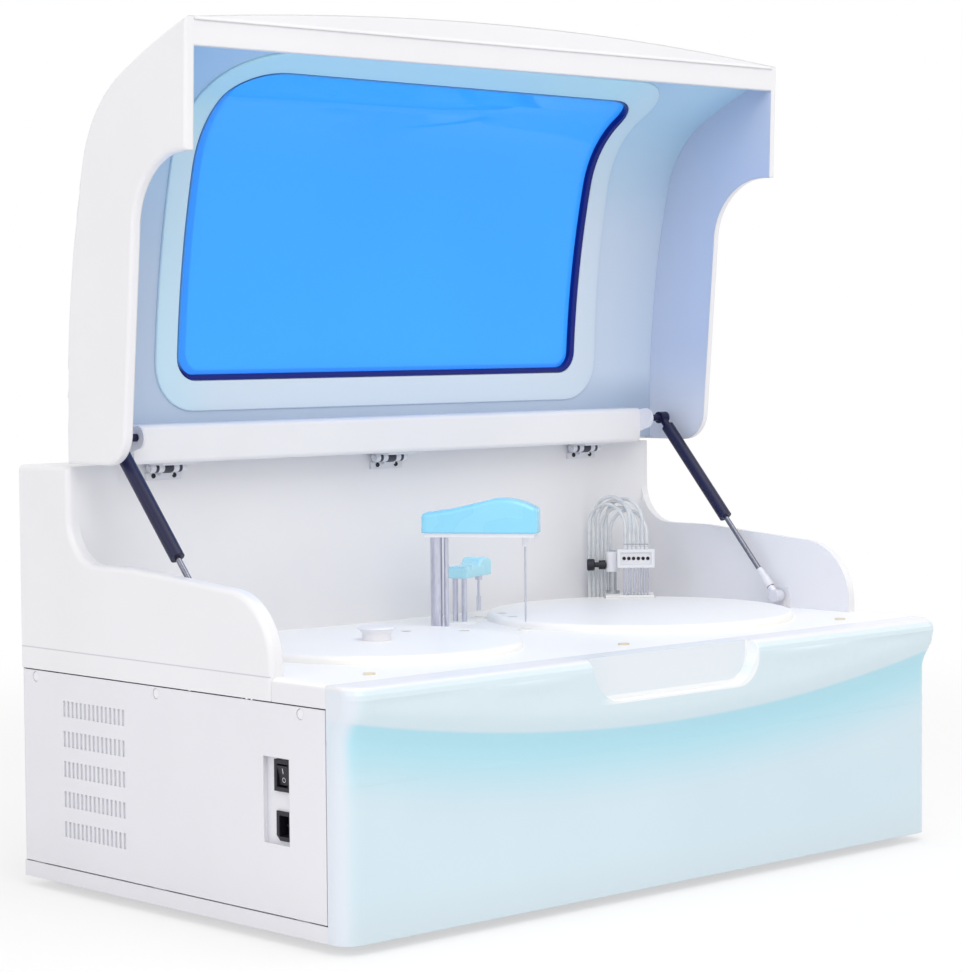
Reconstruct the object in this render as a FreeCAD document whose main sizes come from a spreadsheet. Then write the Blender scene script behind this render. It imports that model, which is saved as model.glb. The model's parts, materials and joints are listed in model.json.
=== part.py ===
import FreeCAD, Part
import math
import operator
import os
import Sketcher

# Driving dimensions in millimetres, and turns in degrees
cells = {
    # whole instrument
    "overall_width": 860, "overall_depth": 530, "lip_overhang": 16, "foot_height": 10,
    "plinth_height": 16, "base_height": 218, "deck_height": 240, "tower_height": 429,
    "tower_depth": 86, "wall_thickness": 14, "moulding_skin": 3, "deck_skin": 4,
    "panel_sheet": 1.5, "tray_sheet": 2, "seam": 1.2, "seat_gap": 0.3, "running_fit": 0.06, "overrun": 5,
    # feet and inner frame
    "foot_radius": 18, "foot_sole_radius": 15, "foot_side_inset": 72, "foot_front_inset": 46,
    "foot_rear_inset": 50, "post_width": 20, "plate_height": 112,
    "plate_thickness": 4, "plate_front_depth": 124, "plate_rear_depth": 420,
    # side walls of the upper housing
    "wall_front_depth": 104, "wall_round_radius": 68, "wall_front_height": 320,
    "wall_rear_height": 331, "wall_slope_end_depth": 324, "wall_fillet_radius": 46,
    "wall_edge_radius": 6, "deck_edge_radius": 5,
    # front panel
    "front_wrap": 26, "front_corner_radius": 20, "front_skin": 4, "lip_start_height": 146,
    "crease_rise": 40, "lip_bend": 40, "lip_edge_drop": 12, "lip_edge_inset": 11,
    "scoop_half_width": 122, "scoop_floor_height": 196, "scoop_depth": 15, "scoop_corner_radius": 40,
    # side and rear panels
    "panel_front_gap": 1.2, "panel_rear_inset": 3, "vent_width": 4, "vent_length": 16, "vent_pitch": 7.2,
    "vent_row_pitch": 31, "vent_first_depth": 337, "vent_low_height": 49, "screw_radius": 5,
    "screw_head_height": 1.4, "screw_height": 210, "screw_shank_radius": 2, "screw_shank_length": 9,
    "screw_front_depth": 63, "screw_middle_depth": 284, "screw_rear_depth": 490,
    # power entry
    "power_plate_depth": 77, "power_plate_width": 44, "power_plate_low": 81, "power_plate_tall": 88,
    "power_plate_rim": 3, "power_plate_inset": 6, "power_plate_sheet": 1.5, "switch_low": 134,
    "switch_width": 24, "switch_tall": 30, "switch_depth": 81, "switch_proud": 3.5, "switch_wall": 2,
    "switch_body_length": 18, "rocker_thickness": 5, "rocker_tilt": 12, "rocker_gap": 0.5, "rocker_end_gap": 1.6,
    "inlet_low": 87, "inlet_width": 22, "inlet_tall": 28, "inlet_wall": 2, "inlet_chamfer": 5,
    "inlet_proud": 2, "inlet_cavity": 15, "inlet_body_length": 22, "inlet_pin_width": 4,
    "inlet_pin_thickness": 2, "inlet_pin_length": 8, "inlet_pin_pitch": 7,
    # lid
    "hinge_setback": 8, "hinge_drop": 5, "lid_swing": 87.5, "lid_bottom_rise": 8,
    "lid_straight": 38, "lid_back_radius": 1113, "lid_crown_radius": 130, "lid_top_radius": 724,
    "lid_back_turn": 13.8, "lid_crown_turn": 48, "lid_top_turn": 9.5, "lid_skin": 3.5,
    "cheek_thickness": 10, "cheek_edge_radius": 4, "notch_gap": 6.5, "cheek_corner_radius": 34,
    "cheek_front_reach": 91, "tab_lean": 4, "flange_height": 28, "flange_thickness": 8,
    "crown_rise": 19, "crown_edge_rise": 0.2, "crown_gap_turn": 0.4,
    "liner_depth": 8.2, "liner_thickness": 3, "liner_foot_gap": 3, "rim_height": 2.5,
    "rim_half_width": 328, "rim_low_turn": 0.6, "rim_high_turn": 69.6, "rim_corner_radius": 50,
    "window_half_width": 293, "window_low_turn": 2.3, "window_high_turn": 66, "window_corner_radius": 24,
    "pane_thickness": 4, "pane_margin": 12, "pane_margin_turn": 0.8, "gasket_width": 5,
    "gasket_proud": 1.2, "outer_window_inset": 10,
    # rear bar of the lid and its hinges
    "bar_depth": 27, "bar_height": 40, "bar_drop": 2, "bar_half_length": 374, "bar_edge_radius": 5,
    "hinge_pitch": 310, "hinge_width": 46, "knuckle_radius": 5, "knuckle_width": 16,
    "knuckle_gap": 0.3, "leaf_thickness": 2.5, "leaf_height": 13, "leaf_reach": 24, "pin_radius": 2,
    "pin_head_radius": 3, "pin_head_length": 1.5,
    # gas struts
    "strut_plane": 404, "strut_low_depth": 202, "strut_low_height": 254, "strut_high_depth": 382,
    "strut_high_height": 458, "strut_tube_radius": 7.5, "strut_bore_radius": 5.5, "strut_rod_radius": 3,
    "strut_tube_start": 118, "strut_gland_length": 10, "strut_rod_reach": 152, "strut_piston_length": 8,
    "strut_piston_gap": 0.08, "strut_cap_length": 6, "strut_neck_radius": 4.5, "strut_head_radius": 7,
    "strut_head_length": 12, "strut_stud_radius": 4, "strut_socket_depth": 9, "stud_plate_thickness": 2.5,
    "stud_plate_half_width": 11, "stud_plate_half_height": 9, "strut_collar_length": 14,
    "bracket_thickness": 2.5, "bracket_round": 12, "bracket_back_depth": 406,
    "bracket_low_height": 436, "bracket_high_height": 466,
    # sample disc and its cover
    "sample_x": -190, "sample_depth": 228, "sample_cover_radius": 150, "sample_opening_radius": 140,
    "cover_rise": 8, "cover_skin": 3, "cover_edge_radius": 5, "cover_spigot_drop": 6, "cover_spigot_gap": 0.5,
    "port_radius": 6, "sample_knob_radius": 20, "sample_knob_waist": 15, "sample_knob_height": 14,
    "sample_knob_edge": 2, "rotor_radius": 134, "rotor_thickness": 6, "rotor_top_drop": 30,
    "rotor_hub_radius": 24, "rotor_hub_length": 46, "outer_ring_radius": 122, "inner_ring_radius": 88,
    "outer_tube_count": 20, "inner_tube_count": 12, "tube_radius": 6, "tube_hole_gap": 0.3,
    "tube_length": 70, "tube_rise": 10, "tube_rim_radius": 7.4, "tube_rim_height": 2,
    "motor_width": 56, "motor_height": 44, "motor_shaft_radius": 5, "spindle_gap": 0.05,
    # reaction disc and its cover
    "reaction_x": 218, "reaction_depth": 244, "reaction_cover_radius": 172, "reaction_opening_radius": 166,
    "cuvette_ring_radius": 157, "cuvette_count": 40, "cuvette_width": 8, "cuvette_height": 30,
    "cuvette_wall": 1, "cuvette_rise": 4, "reaction_rim_width": 18, "reaction_rotor_drop": 22,
    "reaction_rotor_thickness": 5, "bath_wall": 3, "bath_gap": 3, "bath_height": 40, "bath_leg_radius": 6,
    "bath_leg_count": 4,
    # probe arm
    "probe_x": -26, "probe_depth": 316, "probe_reach": 98, "probe_rest_turn": -53.7,
    "turret_radius": 20, "turret_thickness": 5, "turret_hub_radius": 14, "turret_hub_length": 24,
    "turret_rise": 1.5, "probe_column_radius": 6.5, "probe_guide_radius": 2.5, "probe_guide_offset": 11,
    "probe_arm_height": 101, "column_below_deck": 94,
    "arm_base_thickness": 5, "arm_base_half_width": 13, "arm_tail": 14, "arm_nose": 15,
    "arm_cover_half_width": 15, "arm_tail_height": 21, "arm_peak_height": 37, "arm_nose_height": 26,
    "arm_peak_share": 0.64, "arm_crown_radius": 75, "arm_edge_radius": 5, "needle_radius": 1,
    "needle_boss_radius": 3.5, "needle_boss_length": 10, "tip_clearance": 1, "tip_taper": 4,
    "well_radius": 6, "well_flange_radius": 8.5, "well_flange_height": 1.5, "well_wall": 1.5, "well_depth": 40,
    # mixer arm
    "mixer_x": 40, "mixer_depth": 350, "mixer_reach": 52, "mixer_rest_turn": 22.9,
    "mixer_post_radius": 3, "mixer_post_pitch": 11, "mixer_arm_height": 50, "mixer_below_deck": 60,
    "mixer_tail": 10, "mixer_nose": 10, "mixer_half_width": 12,
    "mixer_tail_height": 13, "mixer_nose_height": 20, "mixer_edge_radius": 3.5, "mixer_step_share": 0.42,
    "paddle_shaft_radius": 1.5, "paddle_boss_radius": 4, "paddle_boss_length": 6, "paddle_half_width": 3,
    "paddle_thickness": 1, "paddle_height": 16,
    # wash station
    "wash_bearing": 45, "wash_block_left": 36, "wash_block_right": 21, "wash_block_front": 146,
    "wash_block_rear": 186, "wash_block_height": 11, "wash_slot_half_length": 18, "wash_slot_half_width": 3.5,
    "wash_block_edge": 2, "wash_post_x": -27, "wash_post_radial": 176, "wash_post_radius": 4.5,
    "wash_post_height": 62, "wash_foot_radius": 8, "wash_foot_height": 3, "manifold_half_length": 22,
    "manifold_half_depth": 4, "manifold_low": 43, "manifold_tall": 22, "manifold_edge": 2,
    "manifold_window_inset": 4, "manifold_window_depth": 2, "clamp_radius": 8, "clamp_low": 37,
    "clamp_tall": 16, "clamp_arm_half_depth": 3.5, "nozzle_count": 8, "nozzle_pitch": 4,
    "nozzle_radius": 1, "nozzle_tip_rise": 9, "nozzle_stub": 5, "thumb_head_radius": 7,
    "thumb_head_length": 9, "thumb_neck_radius": 3, "thumb_neck_length": 5, "thumb_collar_radius": 5.5,
    "thumb_collar_length": 8, "thumb_groove": 1, "hose_radius": 2, "hose_count": 6, "hose_pitch": 5,
    "hose_peak": 126, "hose_shift": 42, "hose_rear_radial": 190, "hose_tail": 44, "hose_hole_gap": 0.6,
    "notch_margin": 2,
    # parts on the deck and inside the base
    "plug_radius": 6, "plug_height": 1.6, "plug_side_inset": 83, "plug_front_depth": 60,
    "supply_length": 160, "supply_width": 98, "supply_height": 42, "supply_x": -300, "supply_depth": 130,
    "board_length": 220, "board_width": 120, "board_thickness": 2, "board_standoff": 8,
    "board_standoff_radius": 3, "board_margin": 8, "board_x": -20, "board_depth": 110,
    "chip_size": 22, "chip_height": 4, "connector_length": 40, "connector_height": 9,
    "pump_width": 60, "pump_depth_size": 70, "pump_height": 90, "pump_x": 240, "pump_depth": 120,
    "pump_barrel_radius": 9, "pump_barrel_length": 60, "pump_travel_gap": 6,
    "photometer_width": 70, "photometer_depth_size": 46, "photometer_height": 60, "lamp_radius": 14,
    "lamp_length": 30, "fan_width": 80, "fan_thickness": 25, "fan_bore_radius": 37, "fan_hub_radius": 17,
    "fan_blade_count": 5, "fan_blade_thickness": 2, "fan_blade_gap": 2, "fan_arm_width": 6, "fan_x": 250,
    "fan_height": 110, "fan_spindle_radius": 3, "grille_ring_width": 3, "grille_gap": 5,
}

doc = FreeCAD.newDocument("ChemistryAnalyzer")
sheet = doc.addObject("Spreadsheet::Sheet", "Sizes")
for row, (alias, number) in enumerate(cells.items(), 1):
    sheet.set("A%d" % row, alias)
    sheet.set("B%d" % row, str(number))
    sheet.setAlias("B%d" % row, alias)
doc.recompute()

operations = {"+": operator.add, "-": operator.sub, "*": operator.mul, "/": operator.truediv}


# A number together with the sheet expression that gives it
class Size:
    def __init__(self, value, text):
        self.value = value
        self.text = text

    def __add__(self, other):
        return joined(self, "+", other)

    def __radd__(self, other):
        return joined(other, "+", self)

    def __sub__(self, other):
        return joined(self, "-", other)

    def __rsub__(self, other):
        return joined(other, "-", self)

    def __mul__(self, other):
        return joined(self, "*", other)

    def __rmul__(self, other):
        return joined(other, "*", self)

    def __truediv__(self, other):
        return joined(self, "/", other)

    def __neg__(self):
        return joined(0, "-", self)


def sized(value):
    if isinstance(value, Size):
        return value
    return Size(float(value), "(%.12f)" % value)


def joined(left, sign, right):
    left, right = sized(left), sized(right)
    return Size(operations[sign](left.value, right.value), "(%s %s %s)" % (left.text, sign, right.text))


class Sheet:
    def __getattr__(self, alias):
        return Size(float(sheet.get(alias)), "Sizes." + alias)


s = Sheet()
nodes = {}
turned = {
    "Z": FreeCAD.Rotation(),
    "X": FreeCAD.Rotation(FreeCAD.Vector(0, 1, 0), 90),
    "Y": FreeCAD.Rotation(FreeCAD.Vector(1, 0, 0), -90),
}


def cosine(turn):
    return math.cos(math.radians(turn.value))


def sine(turn):
    return math.sin(math.radians(turn.value))


def place(solid, x=0, y=0, z=0, rotation=None):
    if rotation is not None:
        solid.Placement = FreeCAD.Placement(FreeCAD.Vector(), rotation)
    for axis, value in (("x", x), ("y", y), ("z", z)):
        if isinstance(value, Size):
            solid.setExpression("Placement.Base." + axis, value.text)
    return solid


def box(name, x, y, z):
    solid = doc.addObject("Part::Box", name)
    for side, span in (("Length", x), ("Width", y), ("Height", z)):
        solid.setExpression(side, (sized(span[1]) - span[0]).text)
    return place(solid, x[0], y[0], z[0])


def cylinder(name, radius, start, length, axis="Z"):
    solid = doc.addObject("Part::Cylinder", name)
    solid.setExpression("Radius", sized(radius).text)
    solid.setExpression("Height", sized(length).text)
    return place(solid, *start, rotation=turned[axis])


def combined(kind, name, solids):
    result = doc.addObject(kind, name)
    if kind == "Part::Compound":
        result.Links = solids
    else:
        result.Shapes = solids
        result.Refine = True
    return result


def fused(name, solids):
    return combined("Part::MultiFuse", name, solids)


def grouped(name, solids):
    return combined("Part::Compound", name, solids)


def cut(name, base, tools):
    result = doc.addObject("Part::Cut", name)
    result.Base = base
    result.Tool = tools[0] if len(tools) == 1 else fused(name + "_tools", tools)
    result.Refine = True
    return result


def bound(sketch, kind, element, point, value):
    value = sized(value)
    index = sketch.addConstraint(Sketcher.Constraint(kind, -1, 1, element, point, value.value))
    sketch.setExpression("Constraints[%d]" % index, value.text)


# An outline is a list of (u, v) corners, or (u, v, radius) where an arc leads to the next corner;
# a positive radius turns left and a negative one turns right
def drawn(sketch, outline):
    ends = []
    count = len(outline)
    for index, corner in enumerate(outline):
        following = outline[(index + 1) % count]
        u0, v0, u1, v1 = [sized(value).value for value in (*corner[:2], *following[:2])]
        if len(corner) == 2:
            sketch.addGeometry(Part.LineSegment(FreeCAD.Vector(u0, v0, 0), FreeCAD.Vector(u1, v1, 0)), False)
            ends.append((1, 2))
            continue
        radius = sized(corner[2]).value
        half = math.hypot(u1 - u0, v1 - v0) / 2
        rise = math.sqrt(max(radius * radius - half * half, 0)) * (1 if radius > 0 else -1)
        centre_u = (u0 + u1) / 2 - (v1 - v0) / 2 / half * rise
        centre_v = (v0 + v1) / 2 + (u1 - u0) / 2 / half * rise
        turns = [math.atan2(v0 - centre_v, u0 - centre_u), math.atan2(v1 - centre_v, u1 - centre_u)]
        if radius < 0:
            turns.reverse()
        circle = Part.Circle(FreeCAD.Vector(centre_u, centre_v, 0), FreeCAD.Vector(0, 0, 1), abs(radius))
        sketch.addGeometry(Part.ArcOfCircle(circle, *turns), False)
        ends.append((1, 2) if radius > 0 else (2, 1))
    for index, corner in enumerate(outline):
        following = (index + 1) % count
        sketch.addConstraint(
            Sketcher.Constraint("Coincident", index, ends[index][1], following, ends[following][0]))
        bound(sketch, "DistanceX", index, ends[index][0], corner[0])
        bound(sketch, "DistanceY", index, ends[index][0], corner[1])
        if len(corner) == 3:
            radius = sized(corner[2])
            radius = radius if radius.value > 0 else -radius
            number = sketch.addConstraint(Sketcher.Constraint("Radius", index, radius.value))
            sketch.setExpression("Constraints[%d]" % number, radius.text)


def holed(sketch, circles):
    for u, v, radius in circles:
        centre = FreeCAD.Vector(sized(u).value, sized(v).value, 0)
        circle = Part.Circle(centre, FreeCAD.Vector(0, 0, 1), sized(radius).value)
        element = sketch.addGeometry(circle, False)
        bound(sketch, "DistanceX", element, 3, u)
        bound(sketch, "DistanceY", element, 3, v)
        number = sketch.addConstraint(Sketcher.Constraint("Radius", element, sized(radius).value))
        sketch.setExpression("Constraints[%d]" % number, sized(radius).text)


def sketched(name, plane, outline, circles=()):
    body = doc.addObject("PartDesign::Body", name)
    sketch = body.newObject("Sketcher::SketchObject", name + "_sketch")
    origin = [item for item in body.Origin.OriginFeatures if item.Role == plane + "_Plane"]
    sketch.AttachmentSupport = [(origin[0], "")]
    sketch.MapMode = "FlatFace"
    drawn(sketch, outline)
    holed(sketch, circles)
    return body, sketch


# A prism of an outline in the plane named, over the span along its normal
def prism(name, plane, outline, span, circles=(), taper=None):
    body, sketch = sketched(name, plane, outline, circles)
    pad = body.newObject("PartDesign::Pad", name + "_pad")
    pad.Profile = sketch
    pad.setExpression("Length", (sized(span[1]) - span[0]).text)
    if taper is not None:
        pad.setExpression("TaperAngle", taper.text)
    if plane == "XZ":
        place(body, y=sized(span[1]))
    elif plane == "YZ":
        place(body, x=sized(span[0]))
    else:
        place(body, z=sized(span[0]))
    return body


# A solid of revolution of an (r, height) outline about the vertical through a point
def revolved(name, outline, x=0, y=0, z=0, rotation=None):
    body, sketch = sketched(name, "XZ", outline)
    turn = body.newObject("PartDesign::Revolution", name + "_turn")
    turn.Profile = sketch
    turn.ReferenceAxis = (sketch, ["V_Axis"])
    turn.Angle = 360
    return place(body, x, y, z, rotation)


# Rounds the edges of a body's last feature that pass a test
def rounded(body, radius, chosen):
    doc.recompute()
    base = body.Tip
    shape = base.Shape.copy()
    shape.Placement = body.Placement.multiply(shape.Placement)
    names = ["Edge%d" % (index + 1) for index, edge in enumerate(shape.Edges) if chosen(edge)]
    fillet = body.newObject("PartDesign::Fillet", body.Name + "_fillet")
    fillet.Base = (base, names)
    fillet.setExpression("Radius", radius.text)
    body.Tip = fillet
    return body


def ring(name, count, make):
    return [make("%s_%d" % (name, index), 360.0 * index / count) for index in range(count)]


def keep(name, solid):
    solid.Label = name
    nodes[name] = solid
    return solid


def near(first, second):
    return abs(first - second) < tolerance


# Main planes of the instrument, with the origin under the middle of its box
tolerance = s.running_fit.value
half_width = s.overall_width / 2
rear_y = s.overall_depth / 2
front_y = s.lip_overhang - rear_y
base_z = s.foot_height
seam_z = base_z + s.base_height
deck_z = base_z + s.deck_height
tower_z = base_z + s.tower_height
tower_y = rear_y - s.tower_depth
wall_x = half_width - s.wall_thickness
joint_y = front_y + s.front_wrap
cover_z = deck_z + s.cover_rise
floor_z = base_z + s.tray_sheet
plate_z = base_z + s.plate_height
sample_y = front_y + s.sample_depth
reaction_y = front_y + s.reaction_depth
probe_y = front_y + s.probe_depth
mixer_y = front_y + s.mixer_depth
hinge_y = tower_y - s.hinge_setback
hinge_z = tower_z - s.hinge_drop
tip_z = cover_z + s.tip_clearance


# Places that an arm reaches: from its column at a turn
def reached(x, y, reach, degrees):
    turn = math.radians(degrees)
    return x + reach * math.cos(turn), y + reach * math.sin(turn)


# Turn from a column to the point where its arm crosses a ring about a centre
def crossing(column, reach, centre, radius, side):
    across = centre[0].value - column[0].value
    along = centre[1].value - column[1].value
    distance = math.hypot(across, along)
    share = (reach.value ** 2 + distance ** 2 - radius.value ** 2) / (2 * reach.value * distance)
    return math.degrees(math.atan2(along, across) + side * math.acos(min(share, 1)))


probe_axis = (s.probe_x, probe_y)
mixer_axis = (s.mixer_x, mixer_y)
sample_axis = (s.sample_x, sample_y)
reaction_axis = (s.reaction_x, reaction_y)
inner_port = reached(*probe_axis, s.probe_reach, crossing(probe_axis, s.probe_reach, sample_axis,
                                                          s.inner_ring_radius, -1))
outer_port = reached(*probe_axis, s.probe_reach, crossing(probe_axis, s.probe_reach, sample_axis,
                                                          s.outer_ring_radius, 1))
dosing_turn = crossing(probe_axis, s.probe_reach, reaction_axis, s.cuvette_ring_radius, 1)
dosing_port = reached(*probe_axis, s.probe_reach, dosing_turn)
mixing_turn = crossing(mixer_axis, s.mixer_reach, reaction_axis, s.cuvette_ring_radius, 1)
mixing_port = reached(*mixer_axis, s.mixer_reach, mixing_turn)
needle_place = reached(*probe_axis, s.probe_reach, s.probe_rest_turn.value)
paddle_place = reached(*mixer_axis, s.mixer_reach, s.mixer_rest_turn.value)


def washFrame(solid, z=0):
    facing = FreeCAD.Rotation(FreeCAD.Vector(0, 0, 1), s.wash_bearing.value - 90)
    return place(solid, s.reaction_x, reaction_y, z, facing)


# Base: tray, feet, posts and mounting plate
def baseTray():
    outer = box("tray_outer", (-half_width, half_width), (joint_y, rear_y), (base_z, base_z + s.plinth_height))
    inner = box("tray_inner", (-half_width + s.tray_sheet, half_width - s.tray_sheet),
                (joint_y + s.tray_sheet, rear_y - s.tray_sheet), (floor_z, base_z + s.plinth_height + s.overrun))
    keep("base_tray", cut("BaseTray", outer, [inner]))


def feet():
    profile = [(0, 0), (s.foot_sole_radius, 0), (s.foot_radius, s.foot_height), (0, s.foot_height)]
    places = [(side * (half_width - s.foot_side_inset), y) for side in (-1, 1)
              for y in (joint_y + s.foot_front_inset, rear_y - s.foot_rear_inset)]
    keep("feet", grouped("Feet", [revolved("Foot%d" % index, profile, x, y)
                                  for index, (x, y) in enumerate(places)]))


def framePosts():
    inner = half_width - s.panel_sheet
    rows = [front_y + depth - s.post_width / 2
            for depth in (s.screw_front_depth, s.screw_middle_depth, s.screw_rear_depth)]
    posts = []
    for index, y in enumerate(rows):
        for side, x in (("left", (-inner, -inner + s.post_width)), ("right", (inner - s.post_width, inner))):
            low = x[0] + (s.tray_sheet - s.panel_sheet if side == "left" else 0)
            high = x[1] - (s.tray_sheet - s.panel_sheet if side == "right" else 0)
            post = fused("post_solid_%s_%d" % (side, index), [
                box("post_foot_%s_%d" % (side, index), (low, high), (y, y + s.post_width),
                    (floor_z, base_z + s.plinth_height)),
                box("post_top_%s_%d" % (side, index), x, (y, y + s.post_width),
                    (base_z + s.plinth_height, seam_z - s.seam)),
            ])
            thread = cylinder("post_thread_%s_%d" % (side, index), s.screw_shank_radius + s.running_fit,
                              (x[0] - s.overrun, y + s.post_width / 2, base_z + s.screw_height),
                              s.post_width + s.overrun * 2, "X")
            posts.append(cut("Post_%s_%d" % (side, index), post, [thread]))
    keep("frame_posts", grouped("FramePosts", posts))


def mountingPlate():
    reach = half_width - s.panel_sheet - s.post_width
    outline = [(-reach, front_y + s.plate_front_depth), (reach, front_y + s.plate_front_depth),
               (reach, front_y + s.plate_rear_depth), (-reach, front_y + s.plate_rear_depth)]
    shaft = s.motor_shaft_radius + s.seat_gap
    holes = [(*sample_axis, shaft), (*reaction_axis, shaft)]
    keep("mounting_plate", prism("MountingPlate", "XY", outline, (plate_z, plate_z + s.plate_thickness), holes))


# Upper housing: side walls and hollow rear tower in one moulding
def wallOutline():
    low_z = base_z + s.wall_front_height
    high_z = base_z + s.wall_rear_height
    front = front_y + s.wall_front_depth
    return [
        (front, seam_z),
        (front, low_z - s.wall_round_radius, -s.wall_round_radius),
        (front + s.wall_round_radius, low_z),
        (front_y + s.wall_slope_end_depth, high_z),
        (tower_y - s.wall_fillet_radius, high_z, s.wall_fillet_radius),
        (tower_y, high_z + s.wall_fillet_radius),
        (tower_y, tower_z),
        (rear_y, tower_z),
        (rear_y, seam_z),
    ]


def sideWall(name, span, outer):
    def chosen(edge):
        in_plane = all(near(vertex.X, outer.value) for vertex in edge.Vertexes)
        middle = edge.BoundBox.Center
        return in_plane and middle.z > deck_z.value and middle.y < rear_y.value - tolerance
    return rounded(prism(name, "YZ", wallOutline(), span), s.wall_edge_radius, chosen)


def upperHousing():
    inner = half_width - s.moulding_skin
    shell = fused("HousingOuter", [
        sideWall("LeftWall", (-half_width, -wall_x), -half_width),
        sideWall("RightWall", (wall_x, half_width), half_width),
        box("tower", (-wall_x, wall_x), (tower_y, rear_y), (seam_z, tower_z)),
    ])
    hollow = box("tower_hollow", (-inner, inner), (tower_y + s.moulding_skin, rear_y - s.moulding_skin),
                 (seam_z - s.overrun, tower_z - s.moulding_skin))
    keep("upper_housing", cut("UpperHousing", shell, [hollow]))


# Deck: fills the space between the walls, full width in front of them, with a well for each disc and arm
def deckPanel():
    skin, edge = s.moulding_skin, s.deck_edge_radius
    blank = prism("DeckBlank", "XZ", [
        (-half_width, seam_z), (half_width, seam_z), (half_width, deck_z - edge, edge), (half_width - edge, deck_z),
        (-half_width + edge, deck_z, edge), (-half_width, deck_z - edge),
    ], (joint_y, tower_y))
    inner = half_width - skin
    under = seam_z - s.overrun
    depth = s.deck_height - s.base_height + s.overrun * 2
    wall_span = (front_y + s.wall_front_depth, tower_y + s.overrun)
    tools = [
        box("left_wall_seat", (-half_width - s.overrun, -wall_x), wall_span, (under, under + depth)),
        box("right_wall_seat", (wall_x, half_width + s.overrun), wall_span, (under, under + depth)),
        box("deck_hollow", (-inner, inner), (joint_y + skin, tower_y + s.overrun), (under, deck_z - s.deck_skin)),
        cylinder("sample_opening", s.sample_opening_radius, (*sample_axis, under), depth),
        cylinder("reaction_opening", s.reaction_opening_radius, (*reaction_axis, under), depth),
        cylinder("probe_opening", s.turret_radius - s.turret_rise, (*probe_axis, under), depth),
        cylinder("mixer_opening", s.turret_radius - s.turret_rise, (*mixer_axis, under), depth),
    ]
    for name, place_xy in (("needle", needle_place), ("paddle", paddle_place)):
        tools.append(cylinder(name + "_well_hole", s.well_radius + s.well_wall + s.seat_gap,
                              (*place_xy, under), depth))
    reach = s.hose_radius + s.hose_hole_gap
    run = s.hose_pitch * (s.hose_count - 1) / 2
    slot = prism("hose_slot", "XY", [
        (-s.hose_shift - run, s.hose_rear_radial - reach), (-s.hose_shift + run, s.hose_rear_radial - reach, reach),
        (-s.hose_shift + run, s.hose_rear_radial + reach), (-s.hose_shift - run, s.hose_rear_radial + reach, reach),
    ], (under, under + depth))
    tools.append(washFrame(slot, under))
    keep("deck", cut("Deck", blank, tools))


# Front panel: a swept lip whose crease smiles from end to end, with a finger scoop
def lipReach(x_share, height):
    start = s.lip_start_height.value + s.crease_rise.value * x_share * x_share
    share = min(max((height - start) / s.lip_bend.value, 0), 1)
    return s.lip_overhang.value * share * share * (3 - 2 * share)


def frontSection(height, inset):
    half, radius = half_width.value, s.front_corner_radius.value
    face = front_y.value
    z = base_z.value + height
    ends = face - lipReach(1, height) + inset

    def at(x, y):
        return FreeCAD.Vector(x, y, z)

    flat = half - radius
    across = []
    for share in front_shares:
        across.append(at(flat * share, face - lipReach(share, height) + inset))
    curve = Part.BSplineCurve()
    curve.interpolate(across)
    bend = radius * (1 - math.sqrt(0.5))
    back = joint_y.value
    edges = [
        Part.LineSegment(at(-half, back), at(-half, ends + radius)).toShape(),
        Part.Arc(at(-half, ends + radius), at(-half + bend, ends + bend), at(-flat, ends)).toShape(),
        curve.toShape(),
        Part.Arc(at(flat, ends), at(half - bend, ends + bend), at(half, ends + radius)).toShape(),
        Part.LineSegment(at(half, ends + radius), at(half, back)).toShape(),
        Part.LineSegment(at(half, back), at(-half, back)).toShape(),
    ]
    return Part.Wire(edges)


front_shares = (-1, -0.75, -0.5, -0.25, 0, 0.25, 0.5, 0.75, 1)
lip_height_shares = (0, 0.12, 0.25, 0.4, 0.55, 0.7, 0.85, 1)
edge_shares = ((0, 0), (0.38, 0.076), (0.71, 0.29), (0.92, 0.62), (1, 1))


def frontPanel():
    start = s.lip_start_height.value
    edge = s.deck_height.value - s.lip_edge_drop.value
    heights = [start + share * (edge - start) for share in lip_height_shares]
    lip = Part.makeLoft([frontSection(height, 0) for height in heights], True, False)
    brow = Part.makeLoft([
        frontSection(edge + s.lip_edge_drop.value * rise, s.lip_edge_inset.value * inset)
        for rise, inset in edge_shares
    ], True, True)
    apron = Part.Face(frontSection(0, 0)).extrude(FreeCAD.Vector(0, 0, start))
    blank = doc.addObject("Part::Feature", "FrontBlank")
    blank.Shape = apron.fuse([lip, brow]).removeSplitter()
    skin = s.front_skin
    inner = half_width - skin
    turn = s.front_corner_radius - skin
    hollow = prism("front_hollow", "XY", [
        (inner, joint_y + s.overrun), (-inner, joint_y + s.overrun), (-inner, front_y + s.front_corner_radius, turn),
        (-inner + turn, front_y + skin), (inner - turn, front_y + skin, turn), (inner, front_y + s.front_corner_radius),
    ], (base_z + skin, deck_z - skin))
    floor_height = base_z + s.scoop_floor_height
    corner = s.scoop_corner_radius
    half = s.scoop_half_width
    top = deck_z + s.overrun
    scoop = prism("scoop", "XZ", [
        (-half, top), (-half, floor_height + corner, corner), (-half + corner, floor_height),
        (half - corner, floor_height, corner), (half, floor_height + corner), (half, top),
    ], (-rear_y - s.overrun, -rear_y + s.scoop_depth))
    keep("front_panel", cut("FrontPanel", blank, [hollow, scoop]))


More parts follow.
